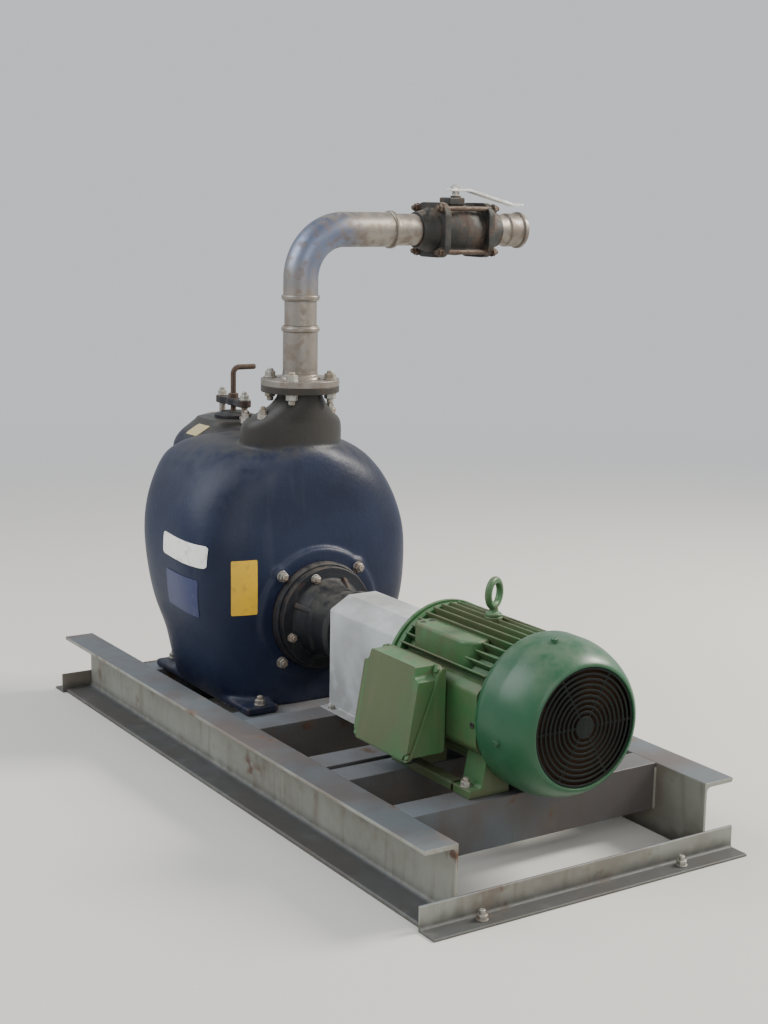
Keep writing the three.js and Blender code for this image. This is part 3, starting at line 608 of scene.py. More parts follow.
class Graph:
    """The node graph of one material."""

    def __init__(self, name: str) -> None:
        """Makes a material with a Principled shader.

        Args:
            name: The material's name.
        """
        self.material = bpy.data.materials.new(name)
        self.material.use_nodes = True
        self.tree = self.material.node_tree
        self.shader = next(node for node in self.tree.nodes if node.type == "BSDF_PRINCIPLED")
        self.place = self.add("ShaderNodeTexCoord", {}, {}, output="Object")

    def add(
        self, kind: str, settings: dict[str, object], inputs: dict[int | str, object], output: int | str = 0
    ) -> Signal:
        """Adds a node.

        Args:
            kind: The node's type.
            settings: Properties to set first.
            inputs: A value or a signal for each socket.
            output: The socket to give back.

        Returns:
            The output's signal.
        """
        node = self.tree.nodes.new(kind)
        for name, value in settings.items():
            setattr(node, name, value)
        for key, value in inputs.items():
            self.feed(node, key, value)
        return Signal(self, node.outputs[output])

    def feed(self, node: bpy.types.Node, key: int | str, value: object) -> None:
        """Gives a node's socket a value or a link.

        Args:
            node: The node.
            key: Its socket's name or place.
            value: A value, or a signal to link.
        """
        if isinstance(value, Signal):
            self.tree.links.new(value.socket, node.inputs[key])
        else:
            node.inputs[key].default_value = value

    def noise(
        self, scale: float, detail: float = 4.0, stretch: Numbers = (1, 1, 1), shift: float = 0.0
    ) -> Signal:
        """Cloudy noise over the object, from 0 to 1.

        Args:
            scale: One over the width of its blots in metres.
            detail: How many finer layers it has.
            stretch: The scale along each axis.
            shift: How far it is moved, so that two of them don't match.

        Returns:
            The noise.
        """
        inputs = {"Vector": self.place, "Scale": tuple(stretch), "Location": (shift, shift, shift)}
        mapped = self.add("ShaderNodeMapping", {}, inputs)
        return self.add("ShaderNodeTexNoise", {}, {"Vector": mapped, "Scale": scale, "Detail": detail})

    def ease(self, value: Signal, low: float, high: float) -> Signal:
        """0 below low, 1 above high, and a smooth step between."""
        inputs = {0: value, 1: low, 2: high, 3: 0.0, 4: 1.0}
        return self.add("ShaderNodeMapRange", {"interpolation_type": "SMOOTHSTEP"}, inputs)

    def mix(self, mask: Signal | float, low: object, high: object) -> Signal:
        """Blends two colours by a mask."""
        inputs = {0: mask, 6: self.paint(low), 7: self.paint(high)}
        return self.add("ShaderNodeMix", {"data_type": "RGBA"}, inputs, output=2)

    def paint(self, colour: object) -> object:
        """A colour given in screen numbers becomes a linear one; a signal stays."""
        return colour if isinstance(colour, Signal) else linear(colour)

    def distance(self, point: Numbers) -> Signal:
        """How far the surface lies from a point, in metres."""
        return self.add("ShaderNodeVectorMath", {"operation": "DISTANCE"}, {0: self.place, 1: point}, "Value")

    def up(self) -> Signal:
        """How far the surface faces up, from -1 to 1."""
        normal = self.add("ShaderNodeNewGeometry", {}, {}, output="Normal")
        return self.add("ShaderNodeSeparateXYZ", {}, {0: normal}, output=2)

    def height(self) -> Signal:
        """How high the surface lies, in metres."""
        return self.add("ShaderNodeSeparateXYZ", {}, {0: self.place}, output=2)

    def edges(self) -> Signal:
        """Over 0.5 on outer edges and under it in corners."""
        return self.add("ShaderNodeNewGeometry", {}, {}, output="Pointiness")

    def finish(
        self, colour: Signal, roughness: Signal, metallic: Signal | float, height: Signal, depth: float
    ) -> bpy.types.Material:
        """Feeds the shader.

        Args:
            colour: The base colour.
            roughness: From 0 for a mirror to 1.
            metallic: From 0 for paint to 1 for bare metal.
            height: The relief, from 0 to 1.
            depth: How many metres a height of 1 stands for.

        Returns:
            The material.
        """
        normal = self.add("ShaderNodeBump", {}, {"Height": height, "Distance": depth, "Strength": 1.0})
        feeds = {"Base Color": colour, "Roughness": roughness, "Metallic": metallic, "Normal": normal}
        for name, value in feeds.items():
            self.feed(self.shader, name, value)
        return self.material


def linear(colour: Numbers) -> tuple[float, float, float, float]:
    """Screen numbers from 0 to 255 as a linear colour."""
    return (*(((v / 255 + 0.055) / 1.055) ** 2.4 if v > 10 else v / 3295 for v in colour), 1.0)


def darker(colour: Rgb, share: float) -> Rgb:
    """A share of a colour's screen numbers."""
    return tuple(round(v * share) for v in colour)


# Finishes


@dataclass(frozen=True)
class Look:
    """What every finish has: the material's name, the slot that it fills and its main colour."""

    name: str
    slot: Slot
    colour: Rgb

    def made(self) -> bpy.types.Material:
        """Builds the material."""
        raise NotImplementedError


@dataclass(frozen=True)
class Paint(Look):
    """A coat of paint that has faded, gathered dust and chipped at its edges, with painted shade above a
    height where one is given.
    """

    faded: Rgb
    under: Rgb = (84, 62, 48)
    dust: Rgb = (150, 145, 132)
    dust_share: float = 0.4
    chip_share: float = 0.5
    roughness: float = 0.4
    gloss: float = 0.4
    grain: float = 90.0
    grain_depth: float = 0.0002
    # Painted shade: the dark colour the paint turns to above the given height, standing in for shade on the
    # casing's top and neck
    high: Rgb | None = None
    shade_above: float = 0.7

    def made(self) -> bpy.types.Material:
        """Builds the material.

        Returns:
            The material.
        """
        g = Graph(self.name)
        cloud = g.noise(4.0, 3.0)
        mottle = g.noise(34.0, 6.0, shift=3.1)
        runs = g.noise(30.0, 4.0, stretch=(1, 1, 0.08), shift=1.7)
        grain = g.noise(self.grain, 5.0, shift=5.0)
        up = g.up()
        side = 1.0 - g.ease(up, 0.3, 0.8)
        low = 1.0 - g.ease(g.height() + mottle * 0.08, 0.1, 0.26)
        settled = g.ease(up, 0.2, 0.95) * g.ease(mottle, 0.25, 0.65)
        streaks = g.ease(runs, 0.55, 0.75) * side * 0.35
        dust = (settled + streaks + low * g.ease(mottle, 0.35, 0.6) * 0.6) * self.dust_share
        chips = g.ease(g.edges() + mottle * 0.08, 0.555, 0.6) * g.ease(cloud, 0.35, 0.55) * self.chip_share
        colour = g.mix(g.ease(cloud, 0.3, 0.7), self.colour, self.faded)
        colour = g.mix(g.ease(mottle, 0.55, 0.75) * 0.25, colour, self.faded)
        # Painted shade: above the given height the paint blends into the dark shade colour
        if self.high:
            top_shade = g.ease(g.height() + mottle * 0.05, self.shade_above, self.shade_above + 0.05)
            colour = g.mix(top_shade * 0.95, colour, self.high)
        colour = g.mix(dust, colour, self.dust)
        colour = g.mix(chips, colour, self.under)
        rough = mottle * 0.12 + (self.roughness - 0.06) + dust * 0.45 + chips * 0.2
        g.feed(g.shader, "Specular IOR Level", self.gloss)
        return g.finish(colour, rough, 0.0, grain + mottle * 0.5 - chips * 1.5, self.grain_depth)


@dataclass(frozen=True)
class Section(Look):
    """Weathered steel section: grey paint gone dull, rust runs, darker towards the floor, and painted sky
    light on its up-facing faces.
    """

    # Painted sky light: the bluer colour that up-facing faces take
    top: Rgb = (86, 92, 98)
    stain: Rgb = (98, 86, 72)
    rust: Rgb = (92, 66, 50)
    # The colour that the section darkens to towards the floor
    dirt: Rgb = (62, 61, 58)

    def made(self) -> bpy.types.Material:
        """Builds the material.

        Returns:
            The material.
        """
        g = Graph(self.name)
        cloud = g.noise(5.0)
        mottle = g.noise(40.0, 6.0, shift=2.3)
        blots = g.noise(14.0, 8.0, shift=7.7)
        runs = g.noise(36.0, 5.0, stretch=(1, 1, 0.1), shift=4.4)
        grain = g.noise(260.0, shift=9.0)
        up = g.ease(g.up(), 0.4, 0.9)
        colour = g.mix(g.ease(cloud, 0.3, 0.7) * 0.6, self.colour, darker(self.colour, 0.85))
        # Painted sky light: up-facing faces blend into the top colour
        colour = g.mix(up * 0.85, colour, self.top)
        colour = g.mix(g.ease(runs, 0.52, 0.72) * (1.0 - up) * 0.4, colour, self.stain)
        rusty = g.ease(blots, 0.56, 0.68) * g.ease(mottle, 0.4, 0.6)
        worn = g.ease(g.edges() + mottle * 0.06, 0.56, 0.6)
        colour = g.mix(rusty * 0.6, colour, self.stain)
        colour = g.mix(g.ease(blots, 0.66, 0.76) + worn * g.ease(cloud, 0.4, 0.6) * 0.4, colour, self.rust)
        # Darker towards the floor
        foot = 1.0 - g.ease(g.height() + mottle * 0.03, 0.018, 0.05)
        colour = g.mix(foot * 0.75, colour, self.dirt)
        rough = mottle * 0.2 + 0.48 + rusty * 0.15
        return g.finish(colour, rough, 0.25 - rusty * 0.2, grain * 0.4 + mottle + rusty * 0.6, 0.0004)


@dataclass(frozen=True)
class Steel(Look):
    """Bare steel: dull or bright, with stains and an optional painted sky reflection round one place."""

    stain: Rgb
    stain_share: float = 0.5
    roughness: float = 0.36
    metallic: float = 0.9
    dust: Rgb = (158, 152, 140)
    # Painted reflection: a bluish colour round one place, standing in for the sky seen in the elbow
    sky_reflection: Rgb | None = None
    sky_reflection_place: Numbers = (0, 0, 0)
    sky_reflection_reach: float = 0.16

    def made(self) -> bpy.types.Material:
        """Builds the material.

        Returns:
            The material.
        """
        g = Graph(self.name)
        cloud = g.noise(9.0)
        mottle = g.noise(48.0, 6.0, shift=1.3)
        brushed = g.noise(240.0, 3.0, shift=6.0)
        colour = g.mix(g.ease(cloud, 0.35, 0.65) * 0.5, self.colour, darker(self.colour, 0.8))
        # Painted reflection: the steel turns bluish near the given place
        if self.sky_reflection:
            away = g.distance(self.sky_reflection_place) + mottle * 0.04
            near = 1.0 - g.ease(away, self.sky_reflection_reach * 0.4, self.sky_reflection_reach)
            colour = g.mix(near * 0.7, colour, self.sky_reflection)
        stained = g.ease(mottle + cloud * 0.4, 0.62, 0.86) * self.stain_share
        colour = g.mix(stained, colour, self.stain)
        dust = g.ease(g.up(), 0.5, 1.0) * g.ease(mottle, 0.3, 0.7) * 0.3
        colour = g.mix(dust, colour, self.dust)
        rough = self.roughness + brushed * 0.14 + stained * 0.25 + dust * 0.4
        metal = self.metallic - stained * 0.5 - dust * 0.6
        return g.finish(colour, rough, metal, brushed + mottle * 0.4, 0.00008)


@dataclass(frozen=True)
class Rusted(Look):
    """Cast iron whose dark coat has partly gone to rust."""

    rust: Rgb = (58, 46, 38)
    pale: Rgb = (92, 72, 55)
    dust: Rgb = (140, 128, 110)

    def made(self) -> bpy.types.Material:
        """Builds the material.

        Returns:
            The material.
        """
        g = Graph(self.name)
        blots = g.noise(22.0, 7.0)
        mottle = g.noise(90.0, 6.0, shift=3.3)
        rusty = g.ease(blots, 0.46, 0.62)
        colour = g.mix(rusty, self.colour, self.rust)
        colour = g.mix(rusty * g.ease(mottle, 0.55, 0.7) * 0.7, colour, self.pale)
        colour = g.mix(g.ease(g.up(), 0.4, 1.0) * g.ease(mottle, 0.35, 0.6) * 0.35, colour, self.dust)
        return g.finish(colour, 0.6 + rusty * 0.25, 0.2 - rusty * 0.2, mottle + blots, 0.0006)


@dataclass(frozen=True)
class Plate(Look):
    """A printed plate: a plain field, lightly scuffed and dirty, with nothing written on it."""

    dirt: Rgb = (110, 102, 88)
    roughness: float = 0.35

    def made(self) -> bpy.types.Material:
        """Builds the material.

        Returns:
            The material.
        """
        g = Graph(self.name)
        mottle = g.noise(60.0, 6.0)
        scuffs = g.noise(150.0, 5.0, stretch=(1, 1, 0.2), shift=2.0)
        dirty = g.ease(mottle, 0.52, 0.72) * 0.35 + g.ease(scuffs, 0.6, 0.75) * 0.3
        colour = g.mix(dirty, self.colour, self.dirt)
        return g.finish(colour, self.roughness + dirty * 0.5, 0.0, mottle, 0.0001)


class Finish(Enum):
    """Every finish of the set."""

    # Section's top colour is painted sky light on up-facing faces: darker and bluer on the channels, lighter
    # on the cross angles
    SKID = Section("weathered_section", Slot.SKID, (142, 143, 134))
    CROSS = Section("dark_section", Slot.SKID, (84, 89, 93), (108, 114, 119), (80, 74, 66), (84, 64, 50))
    # The brown-black above 0.695 m is painted shade on the casing's top and neck
    NAVY = Paint("navy_enamel", Slot.PUMP, (20, 25, 42), (30, 38, 59), dust=(112, 112, 112), dust_share=0.12,
                 roughness=0.42, gloss=0.22, grain=110.0, grain_depth=0.0005, high=(50, 48, 44),
                 shade_above=0.695)
    BLACK = Paint("black_iron_paint", Slot.BLACK, (22, 24, 28), (36, 38, 43), dust_share=0.18, roughness=0.5,
                  gloss=0.22, grain=120.0, grain_depth=0.0006)
    GUARD = Paint("light_grey_paint", Slot.GUARD, (176, 180, 181), (160, 165, 168), under=(96, 90, 82),
                  dust=(140, 132, 118), dust_share=0.25, roughness=0.42, grain=300.0, grain_depth=0.00006)
    GREEN = Paint("green_enamel", Slot.MOTOR, (46, 86, 48), (60, 98, 60), dust_share=0.2, gloss=0.35,
                  grain=130.0, grain_depth=0.00035)
    COWL = Paint("sheet_green_enamel", Slot.MOTOR, (32, 74, 50), (44, 86, 58), dust_share=0.14,
                 chip_share=0.3, roughness=0.34, gloss=0.35, grain=260.0, grain_depth=0.00008)
    GRILLE = Paint("dark_green_wire", Slot.GRILLE, (15, 20, 18), (22, 28, 25), under=(30, 28, 25),
                   dust_share=0.05, roughness=0.6, gloss=0.15, grain=300.0, grain_depth=0.00006)
    # A near-black coat for the disc of painted shade behind the grille
    SHADOW = Paint("painted_shade_disc", Slot.GRILLE, (8, 10, 10), (13, 15, 15), dust_share=0.05, roughness=0.9,
                   gloss=0.1)
    PLASTIC = Paint("black_plastic", Slot.GLAND, (26, 26, 27), (36, 36, 37), under=(40, 40, 40),
                    dust_share=0.25, roughness=0.5, grain=400.0, grain_depth=0.00005)
    # The bluish patch round the elbow is painted sky reflection
    PIPE = Steel("dull_stainless", Slot.PIPE, (140, 134, 126), (96, 78, 62), sky_reflection=(86, 104, 136),
                 sky_reflection_place=(-0.273, -0.0875, 1.165))
    STEEL = Steel("bright_steel", Slot.STEEL, (196, 195, 190), (120, 98, 76), 0.35, 0.28)
    LEVER = Steel("pale_zinc", Slot.STEEL, (228, 227, 222), (150, 138, 118), 0.3, 0.34, 0.45)
    BROWN = Steel("brown_steel", Slot.STEEL, (92, 80, 70), (74, 52, 38), 0.7, 0.5, 0.7)
    ZINC = Steel("zinc_fastener", Slot.STEEL, (166, 164, 156), (112, 84, 58), 0.6, 0.4, 0.8)
    VALVE = Rusted("rusted_iron", Slot.VALVE, (37, 37, 34))
    WHITE_PLATE = Plate("white_plate", Slot.PUMP, (222, 222, 216))
    BLUE_PLATE = Plate("dark_blue_plate", Slot.PUMP, (38, 46, 84), (84, 88, 104))
    YELLOW_PLATE = Plate("yellow_plate", Slot.PUMP, (206, 164, 42), (126, 104, 58))
    TAG = Plate("tag_plate", Slot.PUMP, (176, 162, 118))


# Workshop


class Workshop:
    """Turns meshes in the skid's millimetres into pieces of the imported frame."""

    def __init__(self) -> None:
        """Finds the skid's own origin from the near channel."""
        low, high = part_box("channel_near")
        datum = Vector((low.x, high.y + WEB_BACK * MILLIMETRE, 0))
        self.to_frame = Matrix.Translation(datum) @ Matrix.Scale(MILLIMETRE, 4)
        self.materials: dict[Finish, bpy.types.Material] = {}

    def piece(
        self,
        name: str,
        bm: BMesh,
        finish: Finish,
        *stands_for: str,
        slot: Slot | None = None,
        body: str = "root",
        crease: float = 32.0,
    ) -> bpy.types.Object:
        """Finishes a piece.

        Args:
            name: The piece's name.
            bm: Its mesh in millimetres, which is freed.
            finish: Its finish, whose material is made the first time.
            stands_for: The CAD nodes that it replaces.
            slot: Its slot, where that isn't its finish's own; it is not used.
            body: The CAD body that it rides on.
            crease: Edges sharper than this, in degrees, stay sharp.

        Returns:
            The piece's object.
        """
        slot = slot or finish.value.slot
        if finish not in self.materials:
            self.materials[finish] = finish.value.made()
        bmesh.ops.transform(bm, matrix=self.to_frame, verts=bm.verts)
        mesh = kept(bm)
        mesh.name = name
        mesh.shade_smooth()
        mesh.set_sharp_from_angle(angle=math.radians(crease))
        mesh.materials.append(self.materials[finish])
        made = linked(name, mesh)
        made.modifiers.new("even_light", "WEIGHTED_NORMAL").keep_sharp = True
        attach(made, body)
        if stands_for:
            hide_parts(*stands_for)
        LOG.info("%s: %d faces", name, len(mesh.polygons))
        return made


# Sub-assemblies


@dataclass
class Skid:
    """Two channels with angles across them, their welds and the floor bolts."""

    length: float = 1650
    depth: float = 150
    flange: float = 75
    web: float = 6
    flange_thick: float = 9.5
    root: float = 10
    toe: float = 4
    end_leg: float = 50
    end_thick: float = 5
    end_y: Numbers = (-385, 375)
    top_leg: float = 70
    cross_depth: float = 100
    cross_thick: float = 8
    bearer_top: float = 100
    bearers: Places = (("rear", 236), ("front", 712))
    cross_angles: Places = (("guard", 908), ("middle", 1187), ("motor_front", 1276), ("motor_rear", 1504))
    bead: float = 3.5
    ripple: float = 2.2
    swell: float = 1.14
    bolt_y: Numbers = (-262, 222)

    def build(self, shop: Workshop) -> None:
        """Makes the skid's pieces.

        Args:
            shop: The workshop that finishes them.
        """
        for side, place in SIDES:
            shop.piece(f"{place}_channel", self.channel(side), Finish.SKID, f"channel_{place}")
        for x, out, place in ((self.length, 1, "front"), (0, -1, "rear")):
            shop.piece(f"{place}_end_angle", self.end_angle(x, out), Finish.SKID, f"end_angle_{place}")
        welds = []
        for kind, top, sink, angles in (
            ("pump_bearer", self.bearer_top, 0, self.bearers),
            ("cross_angle", self.depth, 4, self.cross_angles),
        ):
            for place, x in angles:
                shop.piece(f"{place}_{kind}", self.cross_angle(x, top), Finish.CROSS, f"{kind}_{place}")
                welds += self.welds(x, top - sink)
        shop.piece("skid_welds", merged(*welds), Finish.SKID, crease=80)
        shop.piece("floor_bolts", self.floor_bolts(), Finish.ZINC)

    def channel(self, side: int) -> BMesh:
        """One channel, its web on the inside.

        Args:
            side: -1 for the near one, 1 for the far one.

        Returns:
            Its mesh.
        """
        back, inside, toe = (side * (WEB_BACK + reach) for reach in (0, self.web, self.flange))
        low, high = self.flange_thick, self.depth - self.flange_thick
        section = [
            (back, 0, 2), (toe, 0, 1.5), (toe, low, self.toe), (inside, low, self.root),
            (inside, high, self.root), (toe, high, self.toe), (toe, self.depth, 1.5), (back, self.depth, 2),
        ]
        return bevelled(pushed(section, Axis.X, 0, self.length), 0.7, 1, over=60)

    def end_angle(self, end_x: float, out: int) -> BMesh:
        """The angle across an end: one leg stands against the channels, the other lies outwards.

        Args:
            end_x: Where the channels end.
            out: 1 where outwards is +X, otherwise -1.

        Returns:
            Its mesh.
        """
        face, inner, far = (end_x + out * (GAP + reach) for reach in (0, self.end_thick, self.end_leg))
        section = [
            (face, 0, 1), (far, 0, 0.8), (far, self.end_thick, 2.5), (inner, self.end_thick, 6),
            (inner, self.end_leg, 2.5), (face, self.end_leg, 0.8),
        ]
        return bevelled(pushed(section, Axis.Y, *self.end_y), 0.6, 1, over=60)

    def cross_angle(self, face: float, top: float) -> BMesh:
        """An angle between the webs, its standing leg nearer the motor.

        Args:
            face: Where its standing leg's face is.
            top: How high it reaches.

        Returns:
            Its mesh.
        """
        low, foot = top - self.cross_thick, top - self.cross_depth
        toe, inner = face - self.top_leg, face - self.cross_thick
        section = [
            (toe, top, 1), (toe, low, 4), (inner, low, 8), (inner, foot, 4), (face, foot, 1), (face, top, 2),
        ]
        reach = WEB_BACK - GAP
        return bevelled(pushed(section, Axis.Y, -reach, reach), 0.6, 1, over=60)

    def welds(self, face: float, top: float) -> list[BMesh]:
        """Fillet welds where an angle meets the webs.

        Args:
            face: Where the angle's standing leg is.
            top: How high the welds reach.

        Returns:
            The beads.
        """
        seams = []
        for side in BOTH:
            y = side * (WEB_BACK - 1.5)
            standing = (face + 1, y, top - self.cross_depth + 6)
            lying = (face - self.top_leg + 4, y, top - self.cross_thick - 1)
            seams.append(self.seam(standing, UP, self.cross_depth - 8))
            seams.append(self.seam(lying, (1, 0, 0), self.top_leg - 16))
        return seams

    def seam(self, start: Numbers, way: Numbers, length: float) -> BMesh:
        """One rippled weld bead.

        Args:
            start: Where it starts.
            way: Its direction.
            length: How long it is.

        Returns:
            Its mesh.
        """
        rod = Rod(start, way, self.bead, sides=10)
        for step in range(int(length / self.ripple)):
            rod.straight(self.ripple, self.swell if step % 2 else 1 / self.swell)
        return rod.done()

    def floor_bolts(self) -> BMesh:
        """Bolts through the flat legs of the end angles."""
        ends = (self.length + self.end_leg / 2, -self.end_leg / 2)
        return Bolt(12, 9).at([aimed((x, y, self.end_thick), UP, 20 + y) for x in ends for y in self.bolt_y])


@dataclass(frozen=True)
class Label:
    """A blank plate whose corners are (across, up) from its middle, laid on along a bearing in degrees."""

    name: str
    finish: Finish
    radius: float
    corners: Outline
    middle: Numbers = (0, -280, 0)
    bearing: float = 90
    thick: float = 1.2
    before: float = 120
    cells: int = 26

    def mesh(self, skin: BVHTree) -> BMesh:
        """The thin plate, following a skin.

        Args:
            skin: What it is laid on.

        Returns:
            The plate's mesh.
        """
        way = Vector((math.cos(math.radians(self.bearing)), math.sin(math.radians(self.bearing)), 0))
        across = way.cross(Vector(UP))
        start = Vector(self.middle) - way * self.before
        a, b, c, d = (start + across * u + Vector((0, 0, v)) for u, v in self.corners)
        bm = bmesh.new()
        bmesh.ops.create_grid(bm, x_segments=self.cells, y_segments=self.cells, size=0.5)
        wide, high = (b - a).length, (d - a).length
        reach_u, reach_v = self.radius / wide, self.radius / high
        for vert in bm.verts:
            u, v = vert.co.x + 0.5, 0.5 - vert.co.y
            in_u, in_v = min(u, 1 - u), min(v, 1 - v)
            if in_u < reach_u and in_v < reach_v:
                arm = Vector(((reach_u - in_u) * wide, (reach_v - in_v) * high))
                if arm.length > self.radius:
                    arm *= self.radius / arm.length
                    in_u, in_v = reach_u - arm.x / wide, reach_v - arm.y / high
                    u = in_u if u < 0.5 else 1 - in_u
                    v = in_v if v < 0.5 else 1 - in_v
            spot = (a * (1 - u) + b * u) * (1 - v) + (d * (1 - u) + c * u) * v
            place, normal, _, _ = skin.ray_cast(spot, way)
            vert.co = place + normal * GAP if place else spot
        bmesh.ops.recalc_face_normals(bm, faces=bm.faces)
        if sum(face.normal.dot(way) for face in bm.faces) > 0:
            bmesh.ops.reverse_faces(bm, faces=bm.faces)
        bmesh.ops.solidify(bm, geom=bm.faces[:], thickness=-self.thick)
        bmesh.ops.recalc_face_normals(bm, faces=bm.faces)
        return bm


@dataclass
class Pump:
    """The cast pump: its casing, plates, suction stub, bearing housing and nameplates."""

    rings: Outline = (
        (100.3, 446, 206, 205, 206, 4), (118, 448, 205, 219, 205, 4), (170, 452, 201, 238, 201, 4),
        (240, 455, 197, 258, 197, 4), (320, 452, 198, 287, 198, 4), (400, 443, 205, 299, 205, 4),
        (480, 432, 210, 300, 210, 4), (550, 421, 207, 288, 213, 3.6), (610, 407, 196, 263, 221, 3.2),
        (655, 393, 179, 233, 227, 2.7), (680, 390, 155, 203, 224, 2.3), (696, 387, 125, 166, 220, 2.2),
        (706, 382, 88, 118, 214, 2.2), (711, 382, 48, 65, 186, 2),
    )
    squareness: float = 4
    neck: Outline = (
        (560, 500, 98, 112), (650, 506, 96, 122), (700, 508, 93, 129), (742, 512, 88, 128),
        (761, 518, 82, 118), (770, 526, 76, 104), (780, 535, 69, 90), (792, 544, 62, 75), (805, 549, 57, 63),
        (818, 552, 54, 54), (832, 552, 52, 52),
    )
    port: Outline = (
        (520, 232, 50, 60), (560, 224, 78, 100), (600, 222, 84, 132), (640, 222, 86, 151),
        (668, 221, 86, 149), (690, 219, 84, 133), (705, 217, 82, 111), (717, 216, 80, 89), (728, 216, 79, 80),
    )
    voxel: float = 4.2
    softness: int = 6
    front_boss: Numbers = (160, 560, 654)
    rear_boss: Numbers = (150, 300, 220)
    suction_neck: Numbers = (76, 300, 134)
    neck_flange: Numbers = (92.5, 829, 844)
    inlet: Numbers = (107.5, 121, 136)
    ear: Numbers = (21, 600, 655)
    ear_circle: float = 146
    suction_circle: float = 90
    cover_circle: float = 124
    housing_circle: float = 103
    end_circle: float = 74
    over_neck: float = 826
    rail_x: Numbers = (200, 694)
    rail_y: Numbers = (130, 214)
    rail_z: Numbers = (100.3, 120.3)
    front_face: float = 657
    rear_face: float = 219.7
    spool: Outline = (
        (0, 0), (107.5, 0, 1.2), (107.5, 15, 1.5), (62, 15, 1), (57, 20, 2), (57, 57, 0.8), (52, 57, 0.8),
        (52, 3), (0, 3),
    )
    cover: Outline = (
        (0, 0), (138, 0, 1.5), (138, 13, 3), (112, 13, 2), (108, 16, 2), (58, 16, 4), (40, 22, 5),
        (34, 30, 3), (0, 30),
    )
    seal: Outline = ((0, 0.3), (129, 0.3), (129, 6.3, 2), (126, 16.3, 4), (0, 16.3))
    housing_foot: float = 673.6
    housing_end: float = 836
    housing: Outline = (
        (0, 162.4), (121, 162.4, 2), (121, 145.4, 3), (108, 144.4, 2), (93, 142.4, 7), (83, 112.4, 24),
        (80, 86.4, 10), (80, 26, 3), (90, 22, 3), (90, 0, 2.5), (60, 0, 1), (58, 4, 1), (30, 4, 1),
        (28, 0, 1), (0, 0),
    )
    rib: Outline = ((16, 60), (16, 106, 6), (60, 82, 10), (90, 76), (90, 60))
    neck_bolts_at: Outline = ((500, 96), (560, 78), (540, -92), (478, -102))
    labels: tuple[Label, ...] = (
        Label("white_plate", Finish.WHITE_PLATE, 8, ((436, 502), (597, 489), (598, 437), (438, 451))),
        Label("blue_plate", Finish.BLUE_PLATE, 5, ((452, 416), (580, 408), (574, 318), (446, 330))),
        Label("port_tag", Finish.TAG, 3, ((212, 714), (266, 714), (266, 692), (212, 692))),
        Label("yellow_plate", Finish.YELLOW_PLATE, 3, ((31, 64), (-31, 64), (-31, -64), (31, -64)),
              (634, -192, 392), 158),
    )

    def build(self, shop: Workshop) -> None:
        """Makes the pump's pieces.

        Args:
            shop: The workshop that finishes them.
        """
        casing = shop.piece("pump_body", self.casing(), Finish.NAVY, "pump_casing")
        spool = SUCTION.turned(self.spool, self.inlet[1] - GAP, -1, FINE)
        shop.piece("suction_spool", spool, Finish.PIPE, "suction_flange")
        shop.piece("suction_bolts", self.suction_bolts(), Finish.ZINC)
        cover = SHAFT.turned(self.cover, self.rear_face, -1, FINE)
        shop.piece("inspection_cover", cover, Finish.NAVY, "cover_plate")
        nuts = SHAFT.spots(self.cover_circle, self.rear_face - 13, 6, 30, -1)
        shop.piece("cover_bolts", Bolt(14, 7).at(nuts), Finish.ZINC)
        seal = SHAFT.turned(self.seal, self.front_face, sides=FINE)
        shop.piece("seal_ring_plate", seal, Finish.BLACK, "seal_plate")
        shop.piece("bearing_barrel", self.ribbed_housing(), Finish.BLACK, "bearing_housing")
        shop.piece("front_bolts", self.front_bolts(), Finish.ZINC)
        shop.piece("foot_bolts", self.foot_bolts(), Finish.ZINC)
        skin = self.skin(shop, casing)
        shop.piece("neck_bolts", self.neck_bolts(skin), Finish.ZINC)
        for label in self.labels:
            shop.piece(label.name, label.mesh(skin), label.finish)

    def casing(self) -> BMesh:
        """The casting, with its machined flanges and faces joined to it.

        Returns:
            Its mesh.
        """
        (x0, x1), (inner, outer), (low, high) = self.rail_x, self.rail_y, self.rail_z
        rails = [block((x0, y, low), (x1, y + outer - inner, high), 5) for y in (-outer, inner)]
        ears = [
            Line(Axis.X, (spot.translation.y, spot.translation.z)).drum(*self.ear, (0, 3), 32)
            for spot in SHAFT.spots(self.ear_circle, 0, 4, 45)
        ]
        cast = merged(
            lofted(between(self.rings, 5), self.squareness, 128),
            *rails,
            SHAFT.drum(*self.front_boss, (0, 6)),
            SHAFT.drum(*self.rear_boss, (0, 6)),
            SUCTION.drum(*self.suction_neck),
            *ears,
            lofted(between(self.neck, 3), 2),
            lofted(between(self.port, 4), self.squareness),
        )
        skin = fused(cast, self.voxel, self.softness)
        flange = RISER.drum(*self.neck_flange, (1.5, 1.2), FINE)
        return merged(skin, flange, SUCTION.drum(*self.inlet, (1.2, 1.5), FINE))

    def suction_bolts(self) -> BMesh:
        """Eight bolts through the suction flanges, with nuts behind.

        Returns:
            Their mesh.
        """
        _, face, rim = self.inlet
        heads = SUCTION.spots(self.suction_circle, 2 * face - GAP - rim, 8, 22.5, -1)
        return merged(Bolt(14).at(heads), Bolt(14, 5).at(SUCTION.spots(self.suction_circle, rim, 8, 22.5)))

    def ribbed_housing(self) -> BMesh:
        """The bearing housing, ribbed between its flange and barrel.

        Returns:
            Its mesh.
        """
        body = SHAFT.turned(self.housing, self.housing_end, -1, FINE)
        rib = pushed([(self.housing_foot + x, *rest) for x, *rest in self.rib], Axis.Y, -6, 6)
        centre = Matrix.Translation((0, *SHAFT.centre))
        spots = [centre @ Matrix.Rotation(math.radians(turn), 4, "X") for turn in (65, 155, 245, 335)]
        return merged(body, placed(bevelled(rib, 2.5, 2), spots))

